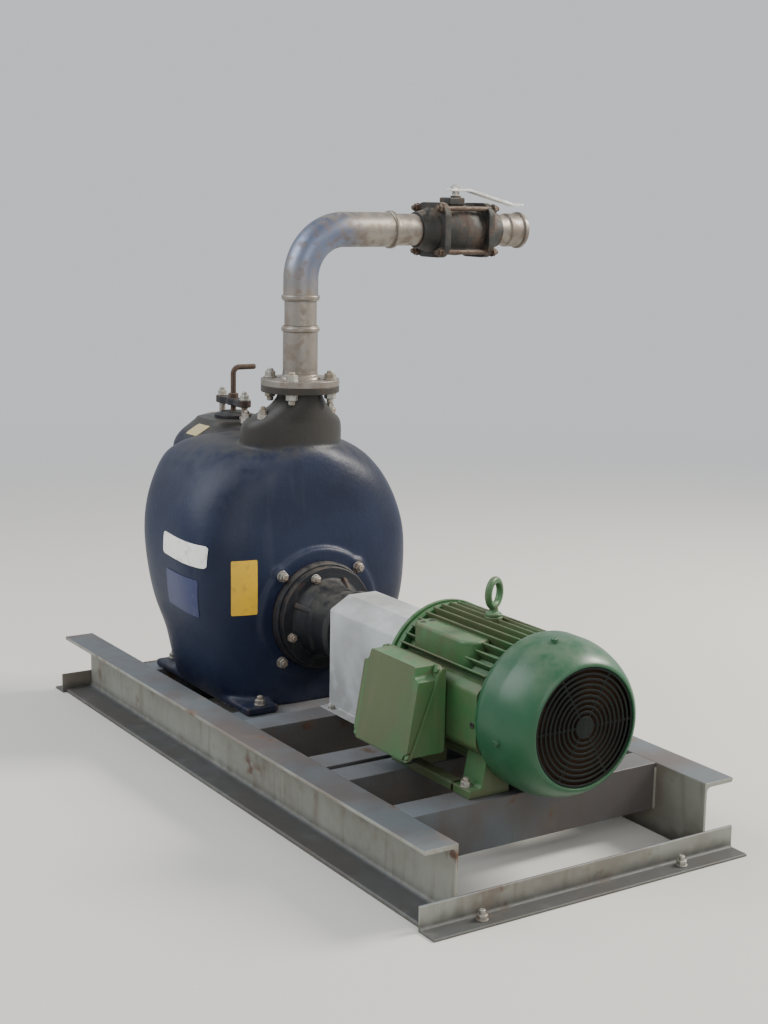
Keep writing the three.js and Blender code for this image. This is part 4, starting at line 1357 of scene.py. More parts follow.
    def front_bolts(self) -> BMesh:
        """Bolts on the casing's ears, on the housing's flange and on its end cover.

        Returns:
            Their mesh.
        """
        return merged(
            Bolt(14, 6).at(SHAFT.spots(self.ear_circle, self.ear[2] - 1, 4, 45)),
            Bolt(12, 5).at(SHAFT.spots(self.housing_circle, self.housing_foot + 17, 4, 20)),
            Bolt(8).at(SHAFT.spots(self.end_circle, self.housing_end, 4, 45)),
        )

    def neck_bolts(self, skin: BVHTree) -> BMesh:
        """Bolts on the flared foot of the neck.

        Args:
            skin: The casing's outside.

        Returns:
            Their mesh.
        """
        sunk = Vector((0, 0, 3))
        spots = []
        for x, y in self.neck_bolts_at:
            point = skin.ray_cast(Vector((x, y, self.over_neck)), Vector((0, 0, -1)))[0]
            spots.append(aimed(point - sunk, UP, x))
        bolt = Bolt(12, 7).at([Matrix.Translation(sunk)])
        return placed(merged(UPRIGHT.drum(14, -8, 3, (0, 1), 32), bolt), spots)

    def foot_bolts(self) -> BMesh:
        """Bolts that hold the base rails to the bearers.

        Returns:
            Their mesh.
        """
        top, middle = self.rail_z[1], sum(self.rail_y) / 2
        places = (self.rail_x[0] + 20, self.rail_x[1] - 19)
        return Bolt(14, 8).at([aimed((x, side * middle, top), UP, 12) for x in places for side in BOTH])

    def skin(self, shop: Workshop, casing: bpy.types.Object) -> BVHTree:
        """The casing's outside in the skid's millimetres, for laying things on it.

        Args:
            shop: The workshop that placed it.
            casing: The casing.

        Returns:
            A tree to cast rays at.
        """
        copy = bmesh.new()
        copy.from_mesh(casing.data)
        bmesh.ops.transform(copy, matrix=shop.to_frame.inverted(), verts=copy.verts)
        tree = BVHTree.FromBMesh(copy)
        copy.free()
        return tree


@dataclass
class PrimingPort:
    """The priming port's cover, its clamp bar on two posts and the bent clamp screw."""

    seat: float = 728
    cover: Outline = ((0, 0), (47, 0, 1), (47, 8, 2.5), (38, 9, 3), (30, 14.5, 4), (17, 15, 1), (0, 15))
    bar_z: Numbers = (758.3, 776.3)
    bar_half: Outline = (
        (-75, -16, 14), (-41, -16, 12), (-18, -11, 10), (0, -17, 10), (18, -11, 10), (41, -16, 12),
        (75, -16, 14),
    )
    post_offset: float = 60
    post_radius: float = 8
    collar_radius: float = 13
    rod_radius: float = 7
    rod_foot: float = 743.6
    rod_top: float = 853
    reach: float = 62
    bend: float = 16
    nut: Outline = ((0, 0), (13, 0), (13, 10), (11, 12), (0, 12))

    def build(self, shop: Workshop) -> None:
        """Makes the port's pieces.

        Args:
            shop: The workshop that finishes them.
        """
        shop.piece("port_lid", PORT.turned(self.cover, self.seat + GAP), Finish.BLACK, "fill_cover")
        shop.piece("port_clamp", self.clamp(), Finish.BLACK, "clamp_bar")
        shop.piece("port_posts", self.posts(), Finish.ZINC)
        shop.piece("port_screw", self.screw(), Finish.BROWN, "clamp_screw")

    def clamp(self) -> BMesh:
        """The bar, waisted between its eyes, as a forging is."""
        plan = [(PORT.centre[0] + turn * u, turn * v, r) for turn in (1, -1) for u, v, r in self.bar_half]
        return bevelled(pushed(plan, Axis.Z, *self.bar_z), 2.5, 3)

    def posts(self) -> BMesh:
        """The two posts with their nuts.

        Returns:
            Their mesh.
        """
        parts = []
        for side in BOTH:
            post = Line(Axis.Z, (PORT.centre[0] + side * self.post_offset, 0))
            parts.append(post.drum(self.post_radius, self.seat - 12, self.bar_z[0], sides=24))
            parts.append(post.drum(self.collar_radius, self.seat, self.seat + 7, (1, 2), HEXAGON))
            parts.append(Bolt(14, 8).at([aimed((*post.centre, self.bar_z[1]), UP, 25 * side)]))
        return merged(*parts)

    def screw(self) -> BMesh:
        """The clamp screw, bent over at the top for a handle.

        Returns:
            Its mesh.
        """
        rod = Rod((*PORT.centre, self.rod_foot), UP, self.rod_radius, 24)
        rod.straight(self.rod_top - self.bend - self.rod_foot).quarter(FAR, self.bend, 10)
        rod.straight(self.reach - self.bend - 2).straight(2, 0.75)
        return merged(rod.done(), PORT.turned(self.nut, self.bar_z[1], sides=HEXAGON))


@dataclass
class Drive:
    """Shafts, coupling halves and the folded guard over them."""

    centre: float = 985
    hub: Outline = ((0, 44), (36, 44, 1), (36, 26, 2), (58, 24, 2))
    radius: float = 58
    pump_shaft: Numbers = (19, 836.3, 940.7)
    motor_shaft: Numbers = (21, 1029.3, 1141.7)
    guard_x: Numbers = (840, 1124)
    guard_outside: Outline = (
        (108, 150.3, 0.8), (108, 153.3, 0.8), (84, 153.3, 3), (84, 374, 7), (36, 402, 7),
    )
    guard_inside: Outline = ((35, 399, 4), (81, 373, 4), (81, 150.3, 2))
    guard_feet: Outline = ((873, -97, 153.3), (873, 97, 153.3))

    def build(self, shop: Workshop) -> None:
        """Makes the drive's pieces.

        Args:
            shop: The workshop that finishes them.
        """
        shop.piece("pump_coupling", self.coupling(-1), Finish.BLACK, "coupling_pump_half")
        shop.piece("motor_coupling", self.coupling(1), Finish.BLACK, "coupling_motor_half")
        for end, bar in (("pump", self.pump_shaft), ("motor", self.motor_shaft)):
            shaft = SHAFT.drum(*bar, (1.2, 1.2), 48)
            shop.piece(f"{end}_drive_shaft", shaft, Finish.STEEL, f"{end}_shaft")
        shop.piece("guard_hood", self.guard(), Finish.GUARD, "coupling_guard")
        feet = [aimed(spot, UP, 10) for spot in self.guard_feet]
        shop.piece("guard_bolts", Bolt(9).at(feet), Finish.ZINC)

    def coupling(self, way: int) -> BMesh:
        """One coupling half.

        Args:
            way: -1 for the pump's, which stops just short of the other, 1 for the motor's.

        Returns:
            Its mesh.
        """
        start = GAP if way < 0 else 0
        profile = [*self.hub, (self.radius, start, 1), (0, start)]
        return SHAFT.turned(profile[::-way], self.centre, way)

    def guard(self) -> BMesh:
        """The hood, folded from sheet, on out-turned feet.

        Returns:
            Its mesh.
        """
        outer, inner = self.guard_outside, self.guard_inside
        outline = [*outer, *((-y, z, r) for side in (outer, inner) for y, z, r in side[::-1]), *inner]
        return bevelled(pushed(outline, Axis.X, *self.guard_x), 0.6, 1, over=60)


@dataclass
class Motor:
    """The finned motor with its feet, end shield, cowl, terminal box and lifting eye."""

    frame_x: Numbers = (1172, 1490)
    root: float = 124
    tip: float = 147
    fins: int = 44
    fin_share: float = 0.4
    side_pad: Outline = ((1214, -152, 244), (1376, -100, 366))
    wall_x: Numbers = (1188, 1484)
    wall: Outline = (
        (-100, 236), (-133, 236, 8), (-147, 250, 14), (-147, 358, 14), (-133, 372, 8), (-100, 372),
    )
    name_pad: Outline = ((1206, -116, 30), (1408, -116, 30), (1408, -56, 14), (1206, -56, 14))
    name_pad_z: Numbers = (376, 436)
    plug: Outline = ((0, -1), (6.5, -1), (6.5, 1.2, 0.6), (3.5, 1.2, 0.4), (3.5, -0.4), (0, -0.4))
    pad_plugs: Outline = ((1228, -98, 436), (1228, -76, 436))
    side_plug: Numbers = (1472, -147.5, 294)
    feet_x: Places = (("front", 1245), ("rear", 1455))
    foot_low: float = 150.3
    foot_high: float = 168.3
    foot_top: float = 244
    foot_y: Numbers = (64, 118, 132, 160)
    foot_half: float = 31
    foot_bolt_y: float = 149
    shoulder_x: float = 1142
    shield: Outline = (
        (0, 0), (62, 0, 3), (66, 12, 4), (120, 14, 6), (138, 16, 4), (148, 20, 4), (148, 29.7, 1.5),
        (0, 29.7),
    )
    shield_circle: float = 131
    screw_x: float = 1560
    screw_circle: float = 155
    cowl_radius: float = 158
    cowl_thick: float = 4
    cowl_end: float = 1632
    roll_x: float = 1545
    roll_radius: float = 121
    roll_power: float = 1.5
    grille_radius: float = 117
    ring_pitch: float = 10.5
    ring_wide: float = 4.6
    box_x: Numbers = (1199, 1391)
    box_inner: float = 152
    box_z: Numbers = (216, 388)
    box_outer: Numbers = (232, 165)
    lid_x: Numbers = (1193, 1397)
    lid_y: Numbers = (-300, -120)
    lid_z: Numbers = (208, 394)
    lid_face: Numbers = (245.6, 214.3)
    lid_roll: float = 24
    lid_rim: float = 6
    gland: tuple[tuple[int, Outline], ...] = (
        (6, ((0, 0), (18, 0), (18, 10), (16, 12), (0, 12))),
        (32, ((0, 8), (13, 8), (13, 22), (0, 22))),
        (6, ((0, 20), (16, 20), (16, 28), (12.5, 34, 2), (7, 34), (6.5, 30), (0, 30))),
    )
    eye_boss: Numbers = (18, 423, 460)
    eye_turn: float = 25
    eye_ring: float = 21.5
    eye_wire: float = 6.5
    eye_grow: Numbers = (1.15, 1.12, 1.22)
    eye_z: float = 507

    def build(self, shop: Workshop) -> None:
        """Makes the motor's pieces.

        Args:
            shop: The workshop that finishes them.
        """
        green = Finish.GREEN
        shop.piece("finned_frame", self.frame(), green, "motor_frame")
        for end, x in self.feet_x:
            for side, place in SIDES:
                shop.piece(f"{end}_{place}_foot", self.foot(x, side), green, f"motor_foot_{end}_{place}")
        shield = SHAFT.turned(self.shield, self.shoulder_x, sides=FINE)
        shop.piece("front_shield", shield, green, "drive_end_shield")
        shop.piece("cowl_shell", self.cowl(), Finish.COWL, "fan_cowl")
        shop.piece("cowl_rings", self.rings(), Finish.GRILLE, "fan_grille")
        # Painted shade: a near-black disc behind the grille stands in for the shade inside the cowl
        back = self.cowl_end - 34
        shop.piece("painted_shade_disc", SHAFT.drum(self.cowl_radius - 18, back - 3, back, sides=64), Finish.SHADOW)
        shop.piece("connection_box", self.box(), green, "terminal_box")
        shop.piece("connection_lid", self.lid(), green, "terminal_box_lid")
        gland = [GLAND.turned(part, self.box_z[0] - GAP, -1, sides) for sides, part in self.gland]
        shop.piece("gland_fitting", merged(*gland), Finish.PLASTIC, "cable_gland")
        shop.piece("lifting_eye", self.eyebolt(), green, "eyebolt")
        shop.piece("motor_bolts", self.bolts(), Finish.ZINC)
        shop.piece("cowl_screws", self.cowl_screws(), Finish.COWL)
        shop.piece("frame_plugs", self.plugs(), Finish.PLASTIC, slot=Slot.MOTOR)

    def frame(self) -> BMesh:
        """The cast frame: fins along the shaft, end rings, two pads and the eye's boss.

        Returns:
            Its mesh.
        """
        pitch = 2 * math.pi / self.fins
        half = pitch * self.fin_share / 2
        edge, crest = (self.root, 2.5), (self.tip, 1.6)
        fin = ((-half, *edge), (-half / 2, *crest), (half / 2, *crest), (half, *edge))
        outline = []
        for index in range(self.fins):
            for turn, radius, fillet in fin:
                angle = index * pitch + turn
                outline.append((radius * math.cos(angle), SHAFT.centre[1] + radius * math.sin(angle), fillet))
        low, high = self.frame_x
        finned = bevelled(pushed(outline, Axis.X, low + 10, high - 10, steps=2), 1.5, 1, over=70)
        ends = ((low, low + 15), (high - 15, high))
        rings = [SHAFT.drum(self.tip - 4, a, b, (2, 2), FINE) for a, b in ends]
        side_pad = block(*self.side_pad, 7)
        wall = bevelled(pushed(self.wall, Axis.X, *self.wall_x), 3, 2, over=60)
        name_pad = bevelled(pushed(self.name_pad, Axis.Z, *self.name_pad_z, steps=7), 6, 3, over=50)
        boss = EYE.drum(*self.eye_boss, (0, 2), 40)
        return merged(finned, *rings, side_pad, wall, name_pad, boss)

    def plugs(self) -> BMesh:
        """Dark plugs: two in the name pad's end and one in the frame's side, by the cowl."""
        spots = [*map(aimed, self.pad_plugs), aimed(self.side_plug, (0, -1, 0))]
        return placed(UPRIGHT.turned(self.plug, sides=24), spots)

    def foot(self, x: float, side: int) -> BMesh:
        """One foot: a bolting pad and a web that rises into the frame. A rear one runs on to the front.

        Args:
            x: Its middle along the shaft.
            side: -1 for a near one, 1 for a far one.

        Returns:
            Its mesh.
        """
        low, high = self.foot_low, self.foot_high
        inner, web, bend, outer = (side * y for y in self.foot_y)
        section = [
            (inner, low, 2), (outer, low, 2), (outer, high, 4), (bend, high, 9), (web, self.foot_top),
            (inner, self.foot_top),
        ]
        pad = bevelled(pushed(section, Axis.X, x - self.foot_half, x + self.foot_half), 2.5, 3, over=50)
        front = self.feet_x[0][1]
        if x == front:
            return pad
        plan = [(bend, low, 1), (outer, low, 2), (outer, high, 4), (bend, high, 2)]
        return merged(pad, pushed(plan, Axis.X, front + self.foot_half + GAP, x - self.foot_half + 8))

    def roll(self, inset: float) -> list[tuple[float, float]]:
        """The cowl's curve from its side in to its face.

        Args:
            inset: How far it is moved in.

        Returns:
            Points as (radius, x).
        """
        share = 2 / self.roll_power
        points = []
        for index in range(17):
            turn = math.pi / 2 * index / 16
            bow = max(math.cos(turn), 0) ** share
            radius = self.roll_radius + (self.cowl_radius - self.roll_radius) * bow
            place = self.roll_x + (self.cowl_end - self.roll_x) * math.sin(turn) ** share
            points.append((radius - inset, place - inset))
        return points

    def cowl(self) -> BMesh:
        """The pressed cowl, whose side rolls in to its open end.

        Returns:
            Its mesh.
        """
        low, end = self.frame_x[1] + GAP, self.cowl_end
        edge, mouth = self.grille_radius + 1.5, self.cowl_radius - self.cowl_thick
        profile = [
            (self.root, low), (mouth, low, 1), (self.cowl_radius, low + 12, 8), *self.roll(0),
            (edge, end, 0.8), (edge, end - 7, 0.8), *self.roll(self.cowl_thick)[::-1],
            (mouth, low + 8), (self.root, low + 8),
        ]
        return SHAFT.turned(profile, sides=112, ring=True)

    def rings(self) -> BMesh:
        """Concentric rings and spokes that close the cowl's end.

        Returns:
            Their mesh.
        """
        face = self.cowl_end - 2.5
        parts = []
        radius = self.grille_radius - self.ring_wide
        while radius > 20:
            outer = radius + self.ring_wide
            loop = [(radius, -2.6, 0.8), (outer, -2.6, 0.8), (outer, 0, 1.1), (radius, 0, 1.1)]
            parts.append(SHAFT.turned(loop, face, sides=FINE, ring=True))
            radius -= self.ring_pitch
        parts.append(SHAFT.drum(22, face - 3, face, (0, 1.5), 48))
        centre = Matrix.Translation((0, *SHAFT.centre))
        spoke = block((face - 4.6, -2.5, 16), (face - 1.8, 2.5, self.grille_radius + 3), 0.8, 1)
        turns = (Matrix.Rotation(math.radians(30 + 60 * index), 4, "X") for index in range(6))
        return merged(*parts, placed(spoke, [centre @ turn for turn in turns]))

    def box(self) -> BMesh:
        """The terminal box, tapering to its lid.

        Returns:
            Its mesh.
        """
        (bottom, top), (deep, shallow), back = self.box_z, self.box_outer, -self.box_inner - GAP
        section = [(back, bottom, 8), (-deep, bottom, 2), (-shallow, top, 2), (back, top, 8)]
        return bevelled(pushed(section, Axis.X, *self.box_x), 5, 3, over=60)

    def lid(self) -> BMesh:
        """The lid: a wedge-shaped hood on a rim that follows the joint, with a screw in each corner's pocket.

        Returns:
            Its mesh.
        """
        (x0, x1), (low, high) = self.lid_x, self.lid_z
        slope = (self.box_outer[0] - self.box_outer[1]) / (self.box_z[1] - self.box_z[0])
        joint = Vector((0, -self.box_outer[0] + slope * (low - self.box_z[0]) - GAP, low))
        out = Vector((0, -1, slope)).normalized()
        lean = (self.lid_face[0] - self.lid_face[1]) / (high - low)
        front = Vector((0, -self.lid_face[0], low))
        left = ((5, high - 26, 4), (19, high - 22, 9), (24, high, 4))
        foot = ((5, low + 20, 4), (15, low + 15, 9), (20, low + 5, 4))
        plan = [
            *((x0 + u, z, r) for u, z, r in foot), *((x1 - u, z, r) for u, z, r in foot[::-1]),
            *((x1 - u, z, r) for u, z, r in left), *((x0 + u, z, r) for u, z, r in left[::-1]),
        ]
        hood = self.sliced(pushed(plan, Axis.Y, *self.lid_y, steps=5), joint, -out)
        hood = self.sliced(hood, front, Vector((0, -1, lean)))
        crest = [
            edge for edge in hood.edges
            if all(abs(v.co.z - high) < 0.1 and abs(v.co.y + self.lid_face[1]) < 1 for v in edge.verts)
        ]
        rounded(hood, crest, self.lid_roll, 8)
        corners = [(x0, low, 16), (x1, low, 16), (x1, high, 14), (x0, high, 14)]
        rim = self.sliced(pushed(corners, Axis.Y, *self.lid_y, steps=6), joint, -out)
        rim = self.sliced(rim, joint + out * self.lid_rim, out)
        up = Vector((0, slope, 1)).normalized()
        screw = UPRIGHT.drum(6.5, 0, 4, (0, 1), 24)
        spots = [
            aimed(joint + Vector((x, 0, 0)) + up * reach + out * self.lid_rim, out)
            for x in (x0 + 10, x1 - 10) for reach in (10, (high - low) / up.z - 11)
        ]
        return merged(bevelled(hood, 3.5, 3, over=40), bevelled(rim, 1, 2, over=50), placed(screw, spots))

    def sliced(self, bm: BMesh, point: Vector, way: Vector) -> BMesh:
        """Cuts off what lies beyond a plane, and closes the cut.

        Args:
            bm: The mesh to cut.
            point: A point of the plane.
            way: The side of the plane that goes.

        Returns:
            The same mesh.
        """
        geom = [*bm.verts, *bm.edges, *bm.faces]
        bmesh.ops.bisect_plane(bm, geom=geom, plane_co=point, plane_no=way, clear_outer=True)
        bmesh.ops.holes_fill(bm, edges=[edge for edge in bm.edges if edge.is_boundary])
        bmesh.ops.recalc_face_normals(bm, faces=bm.faces)
        return bm

    def eyebolt(self) -> BMesh:
        """The lifting eye on its collar.

        Returns:
            Its mesh.
        """
        turns = [2 * math.pi * step / 16 for step in range(16)]
        loop = [(self.eye_ring + self.eye_wire * math.cos(a), self.eye_wire * math.sin(a)) for a in turns]
        shape = Matrix.Rotation(math.radians(self.eye_turn), 4, "Z") @ Matrix.Diagonal((*self.eye_grow, 1))
        spot = Matrix.Translation((*EYE.centre, self.eye_z)) @ shape
        ring = placed(Line(Axis.X).turned(loop, sides=48, ring=True), [spot])
        low = self.eye_boss[2] + GAP
        neck = self.eye_z - self.eye_ring * self.eye_grow[2] + 1 - low
        collar = [(0, 0), (17, 0, 1.5), (17, 6, 3), (10, 9, 4), (8, neck), (0, neck)]
        return merged(ring, EYE.turned(collar, low, sides=40))

    def bolts(self) -> BMesh:
        """Bolts of the feet and the shield.

        Returns:
            Their mesh.
        """
        places = [(x + 4, side * self.foot_bolt_y, self.foot_high) for _, x in self.feet_x for side in BOTH]
        shield = SHAFT.spots(self.shield_circle, self.shoulder_x + 16, 4, 45, -1)
        return merged(Bolt(12, 6).at([aimed(place, UP, 8) for place in places]), Bolt(10).at(shield))

    def cowl_screws(self) -> BMesh:
        """Painted screws that hold the cowl.

        Returns:
            Their mesh.
        """
        spots = []
        for degrees in (99, 189, 279, 9):
            angle = math.radians(degrees)
            way = Vector((0, math.cos(angle), math.sin(angle)))
            spots.append(aimed(Vector((self.screw_x, *SHAFT.centre)) + way * self.screw_circle, way, degrees))
        return Bolt(8).at(spots)


@dataclass
class Pipework:
    """Flange, riser, elbow and header in stainless tube with pressed sockets."""

    face: float = 844.3
    flange: Outline = (
        (0, 0), (92.5, 0, 1.2), (92.5, 15, 1.5), (50, 15, 2), (48, 20, 3), (42, 24, 4), (41, 35, 3),
    )
    bolt_circle: float = 73
    bolt_seats: Outline = ((859.3, 1), (829, -1))
    tube: float = 38
    socket: float = 41
    bead: Outline = ((41, -7, 1), (45, -5.5, 3), (45, 3, 3), (41.6, 5, 1.5), (42.2, 7, 0.8))
    bead_half: float = 7
    mouth_depth: float = 18
    low_joint: float = 976
    high_joint: float = 1048
    bend: float = 114
    header_joint: float = 246
    header_end: float = 634
    valve_y: Numbers = (317, 553)

    def build(self, shop: Workshop) -> None:
        """Makes the pipework's pieces.

        Args:
            shop: The workshop that finishes them.
        """
        mouth = self.bead_half + GAP
        riser = self.pipe(RISER, self.low_joint + mouth, self.high_joint - mouth)
        header = self.pipe(HEADER, self.header_joint + mouth, self.valve_y[0] - GAP)
        shop.piece("riser_flange", self.necked_flange(), Finish.PIPE, "discharge_flange")
        shop.piece("riser_pipe", riser, Finish.PIPE, "riser_tube")
        shop.piece("pipe_elbow", self.elbow(), Finish.PIPE, "elbow")
        shop.piece("near_header_pipe", header, Finish.PIPE, "header_tube_near")
        shop.piece("header_end_socket", self.end_socket(), Finish.PIPE, "header_socket")
        shop.piece("flange_bolts", self.flange_bolts(), Finish.ZINC)

    def pipe(self, line: Line, low: float, high: float) -> BMesh:
        """A plain length of tube."""
        return line.drum(self.tube, low, high, (1, 1))

    def bead_at(self, place: float, lip: int) -> list[tuple[float, ...]]:
        """The bulge round a socket's mouth, as profile points, with its lip on the side of 1 or -1."""
        return [(radius, place + lip * at, fillet) for radius, at, fillet in self.bead[::lip]]

    def necked_flange(self) -> BMesh:
        """The riser's flange with its welded neck and the first socket.

        Returns:
            Its mesh.
        """
        joint = self.low_joint - self.face
        mouth = joint + self.bead_half
        profile = [*self.flange, *self.bead_at(joint, 1), (self.tube, mouth), (0, mouth)]
        return RISER.turned(profile, self.face, sides=FINE)

    def elbow(self) -> BMesh:
        """The elbow, pressed over the riser and over the header.

        Returns:
            Its mesh.
        """
        rod = Rod((*RISER.centre, self.high_joint), UP, self.socket, 64)
        rod.straight(HEADER.centre[1] - self.bend - self.high_joint)
        rod.quarter(FAR, self.bend, 28).straight(self.header_joint - self.bend)
        low, high = self.high_joint - self.bead_half, self.header_joint + self.bead_half
        ends = []
        for line, joint, lip, start, stop in (
            (RISER, self.high_joint, -1, low, low + self.mouth_depth),
            (HEADER, self.header_joint, 1, high - self.mouth_depth, high),
        ):
            bead = self.bead_at(joint, lip)
            ends.append(line.turned([(0, start), (self.tube, start), *bead, (self.tube, stop), (0, stop)]))
        return merged(rod.done(), *ends)

    def end_socket(self) -> BMesh:
        """The last length of header, open for the next pipe.

        Returns:
            Its mesh.
        """
        start, end = self.valve_y[1] + GAP, self.header_end
        profile = [
            (0, start), (self.tube, start, 1), (self.tube, end - 55, 4), (self.socket, end - 49, 4),
            *self.bead_at(end - self.bead_half, 1), (self.tube + 0.4, end, 0.4),
            (self.tube, end - 44), (0, end - 44),
        ]
        return HEADER.turned(profile, sides=FINE)

    def flange_bolts(self) -> BMesh:
        """Four bolts through the two flanges."""
        heads, nuts = (RISER.spots(self.bolt_circle, z, 4, 45, way) for z, way in self.bolt_seats)
        return merged(Bolt(16, 6).at(heads), Bolt(16, 10).at(nuts))


@dataclass
class Valve:
    """The lever ball valve: a body between two caps, four studs, a bonnet, the stem and the lever."""

    barrel: Outline = (
        (0, -56), (55, -56, 2), (56, -48, 3), (60, -24, 8), (62, 0, 12), (60, 24, 8), (56, 48, 3),
        (55, 56, 2), (0, 56),
    )
    bonnet: Outline = (
        (0, 1205), (30, 1205), (30, 1250, 4), (15, 1253, 5), (13, 1268, 3), (13, 1287, 1), (0, 1287),
    )
    pad: Outline = ((516, 405, 1236), (588, 465, 1254))
    stop: Outline = ((530, 401, 1264), (574, 449, 1283))
    pad_bolts: Outline = ((525, 413, 1254), (525, 457, 1254), (579, 413, 1254), (579, 457, 1254))
    cap_half: float = 66
    cap_corner: float = 34
    cap_reach: Numbers = (56.3, 74.3)
    hub: Outline = (
        (0, 68.3), (56, 68.3), (54, 78.3, 4), (50, 88.3, 6), (44, 110, 3), (43, 118, 1.5), (0, 118),
    )
    stud_offset: float = 52
    stud_radius: float = 6
    stem: Outline = ((0, 1287.3), (9, 1287.3), (9, 1312.5), (7, 1314), (0, 1314))
    stem_nut: Outline = ((0, 1304), (14, 1304), (14, 1309), (12.5, 1310.5), (0, 1310.5))
    lever_z: float = 1298
    lever_thick: float = 6
    lever_half: float = 14
    lever_flat: float = 34
    lever_drop: float = 34
    lever_length: float = 205
    lever_tip: float = 36
    lever_back: float = 26

    def build(self, shop: Workshop) -> None:
        """Makes the valve's pieces.

        Args:
            shop: The workshop that finishes them.
        """
        shop.piece("valve_centre", self.body(), Finish.VALVE, "valve_body")
        for out, place in SIDES:
            shop.piece(f"{place}_valve_cap", self.cap(out), Finish.VALVE, f"valve_cap_{place}")
        shop.piece("valve_studs", self.studs(), Finish.BROWN)
        shop.piece("lever_bar", self.lever(), Finish.LEVER, "valve_lever", body="valve_handle")
        stem = merged(STEM.turned(self.stem, sides=32), STEM.turned(self.stem_nut, sides=HEXAGON))
        shop.piece("lever_stem", stem, Finish.STEEL, "valve_stem", body="valve_handle")

    def body(self) -> BMesh:
        """The round centre with its bonnet, its neck and the lever's stop block.

        Returns:
            Its mesh.
        """
        shell = HEADER.turned(self.barrel, STEM.centre[1], sides=80)
        neck = STEM.turned(self.bonnet, sides=48)
        return merged(shell, neck, block(*self.pad, 5), block(*self.stop, 4))

    def cap(self, out: int) -> BMesh:
        """An end cap: a square plate with big round corners, and the hub that the tube enters.

        Args:
            out: -1 for the near one, 1 for the far one.

        Returns:
            Its mesh.
        """
        x, z = HEADER.centre
        y = STEM.centre[1]
        plan = [(x + u * self.cap_half, z + v * self.cap_half, self.cap_corner) for u, v in CORNERS]
        low, high = sorted(y + out * reach for reach in self.cap_reach)
        plate = bevelled(pushed(plan, Axis.Y, low, high, steps=8), 2, 2, over=60)
        return merged(plate, HEADER.turned(self.hub, y, out))

    def studs(self) -> BMesh:
        """Four long studs with nuts on both caps, and the bonnet's bolts.

        Returns:
            Their mesh.
        """
        x, y = STEM.centre
        reach = self.cap_reach[1]
        parts = []
        for u, v in CORNERS:
            at_x, at_z = x + u * self.stud_offset, HEADER.centre[1] + v * self.stud_offset
            parts.append(Line(Axis.Y, (at_x, at_z)).drum(self.stud_radius, y - reach, y + reach, sides=20))
            for out in BOTH:
                parts.append(Bolt(12, 7).at([aimed((at_x, y + out * reach, at_z), (0, out, 0), 20 * u)]))
        tops = [aimed(spot, UP, 10) for spot in self.pad_bolts]
        return merged(*parts, Bolt(7, washer=False).at(tops))

    def lever(self) -> BMesh:
        """The flat lever, stepped down past the bonnet, with a round end.

        Returns:
            Its mesh.
        """
        x, y = STEM.centre
        low, high, drop = self.lever_z, self.lever_z + self.lever_thick, self.lever_drop
        tail, step, tip = y - self.lever_back, y + self.lever_flat, y + self.lever_length
        slope_end = tip - self.lever_tip
        side = [
            (tail, low), (step, low, 14), (slope_end, low - drop, 8), (tip, low - drop), (tip, high - drop),
            (slope_end, high - drop, 14), (step, high, 8), (tail, high),
        ]
        bar = pushed(side, Axis.X, x - self.lever_half, x + self.lever_half)
        ends = []
        for edge in bar.edges:
            a, b = (vert.co for vert in edge.verts)
            standing = abs(a.z - b.z) > self.lever_thick - 1 and abs(a.x - b.x) < 0.1
            if standing and min(abs(a.y - tip), abs(a.y - tail)) < 0.1:
                ends.append(edge)
        return bevelled(rounded(bar, ends, self.lever_half - 2.5, 8), 0.9, 2, over=50)


# Studio


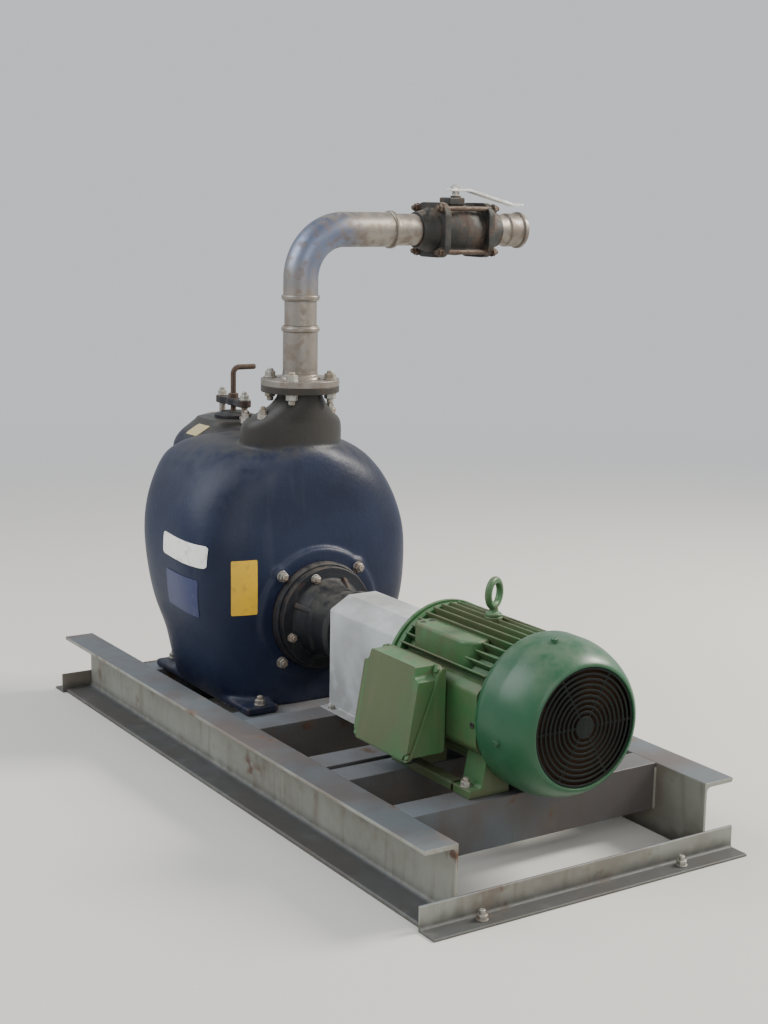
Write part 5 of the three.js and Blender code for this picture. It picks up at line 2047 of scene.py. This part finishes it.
@dataclass
class Studio:
    """Floor, soft lights and the camera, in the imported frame's metres."""

    camera_place: Numbers = (3.082, -2.0685, 1.287)
    aim: Numbers = (-0.02, -0.05, 0.575)
    lens: float = 58.0
    sensor: float = 36.0
    roll: float = 1.0
    floor_colours: tuple[Rgb, Rgb] = ((196, 194, 188), (184, 182, 176))
    fade: Numbers = (1.6, 6.0)
    surround: Rgb = (240, 243, 248)
    surround_light: float = 0.8

    def build(self) -> None:
        """Makes the stage."""
        self.floor()
        self.world()
        self.light("sky_panel", (-1.4, -3.4, 3.6), (0.0, -0.1, 0.5), 3.4, 210, (0.93, 0.96, 1.0))
        self.light("sun_panel", (1.2, 3.6, 3.4), (0.0, 0.0, 0.6), 1.6, 400, (1.0, 0.95, 0.87))
        self.light("front_panel", (4.2, -1.0, 2.4), (0.2, 0.0, 0.4), 2.6, 60, (1.0, 0.99, 0.97))
        self.camera()

    def floor(self) -> None:
        """A pale floor that fades into the surround, so that no horizon shows."""
        bm = bmesh.new()
        bmesh.ops.create_grid(bm, x_segments=1, y_segments=1, size=60)
        mesh = kept(bm)
        mesh.name = "floor"
        floor = linked("floor", mesh)
        g = Graph("pale_floor")
        far = g.ease(g.distance((0, 0, 0)), *self.fade)
        near = g.mix(g.noise(1.5, 5.0) * 0.3, *self.floor_colours)
        g.feed(g.shader, "Base Color", g.mix(far, near, (0, 0, 0)))
        g.feed(g.shader, "Emission Color", g.mix(far, (0, 0, 0), self.surround))
        g.feed(g.shader, "Emission Strength", self.surround_light)
        g.feed(g.shader, "Roughness", 0.9)
        g.feed(g.shader, "Specular IOR Level", 0.0)
        mesh.materials.append(g.material)

    def world(self) -> None:
        """An even, pale surround."""
        world = bpy.data.worlds.new("studio")
        world.use_nodes = True
        background = world.node_tree.nodes["Background"]
        background.inputs["Color"].default_value = linear(self.surround)
        background.inputs["Strength"].default_value = self.surround_light
        bpy.context.scene.world = world

    def turn(self, place: Numbers, target: Numbers) -> Matrix:
        """The matrix of a lamp or camera at a place that faces a target."""
        way = Vector(target) - Vector(place)
        return Matrix.Translation(place) @ way.to_track_quat("-Z", "Y").to_matrix().to_4x4()

    def light(
        self, name: str, place: Numbers, target: Numbers, size: float, power: float, colour: Numbers
    ) -> None:
        """One soft panel that faces a target.

        Args:
            name: Its name.
            place: Where it hangs.
            target: Where it points.
            size: The length of its sides.
            power: Its watts.
            colour: The colour of its light.
        """
        data = bpy.data.lights.new(name, "AREA")
        data.shape = "SQUARE"
        data.size = size
        data.energy = power
        data.color = colour
        linked(name, data).matrix_world = self.turn(place, target)

    def camera(self) -> None:
        """The camera, where the photograph was taken from, with a longer lens."""
        data = bpy.data.cameras.new("camera")
        data.lens = self.lens
        data.sensor_width = self.sensor
        camera = linked("camera", data)
        tilt = Matrix.Rotation(math.radians(self.roll), 4, "Z")
        camera.matrix_world = self.turn(self.camera_place, self.aim) @ tilt
        bpy.context.scene.camera = camera


def main() -> None:
    """Builds the set in order."""
    logging.basicConfig(level=logging.INFO, format="%(message)s")
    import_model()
    Studio().build()
    shop = Workshop()
    for assembly in (Skid(), Pump(), PrimingPort(), Drive(), Motor(), Pipework(), Valve()):
        assembly.build(shop)


if __name__ == "__main__":
    main()
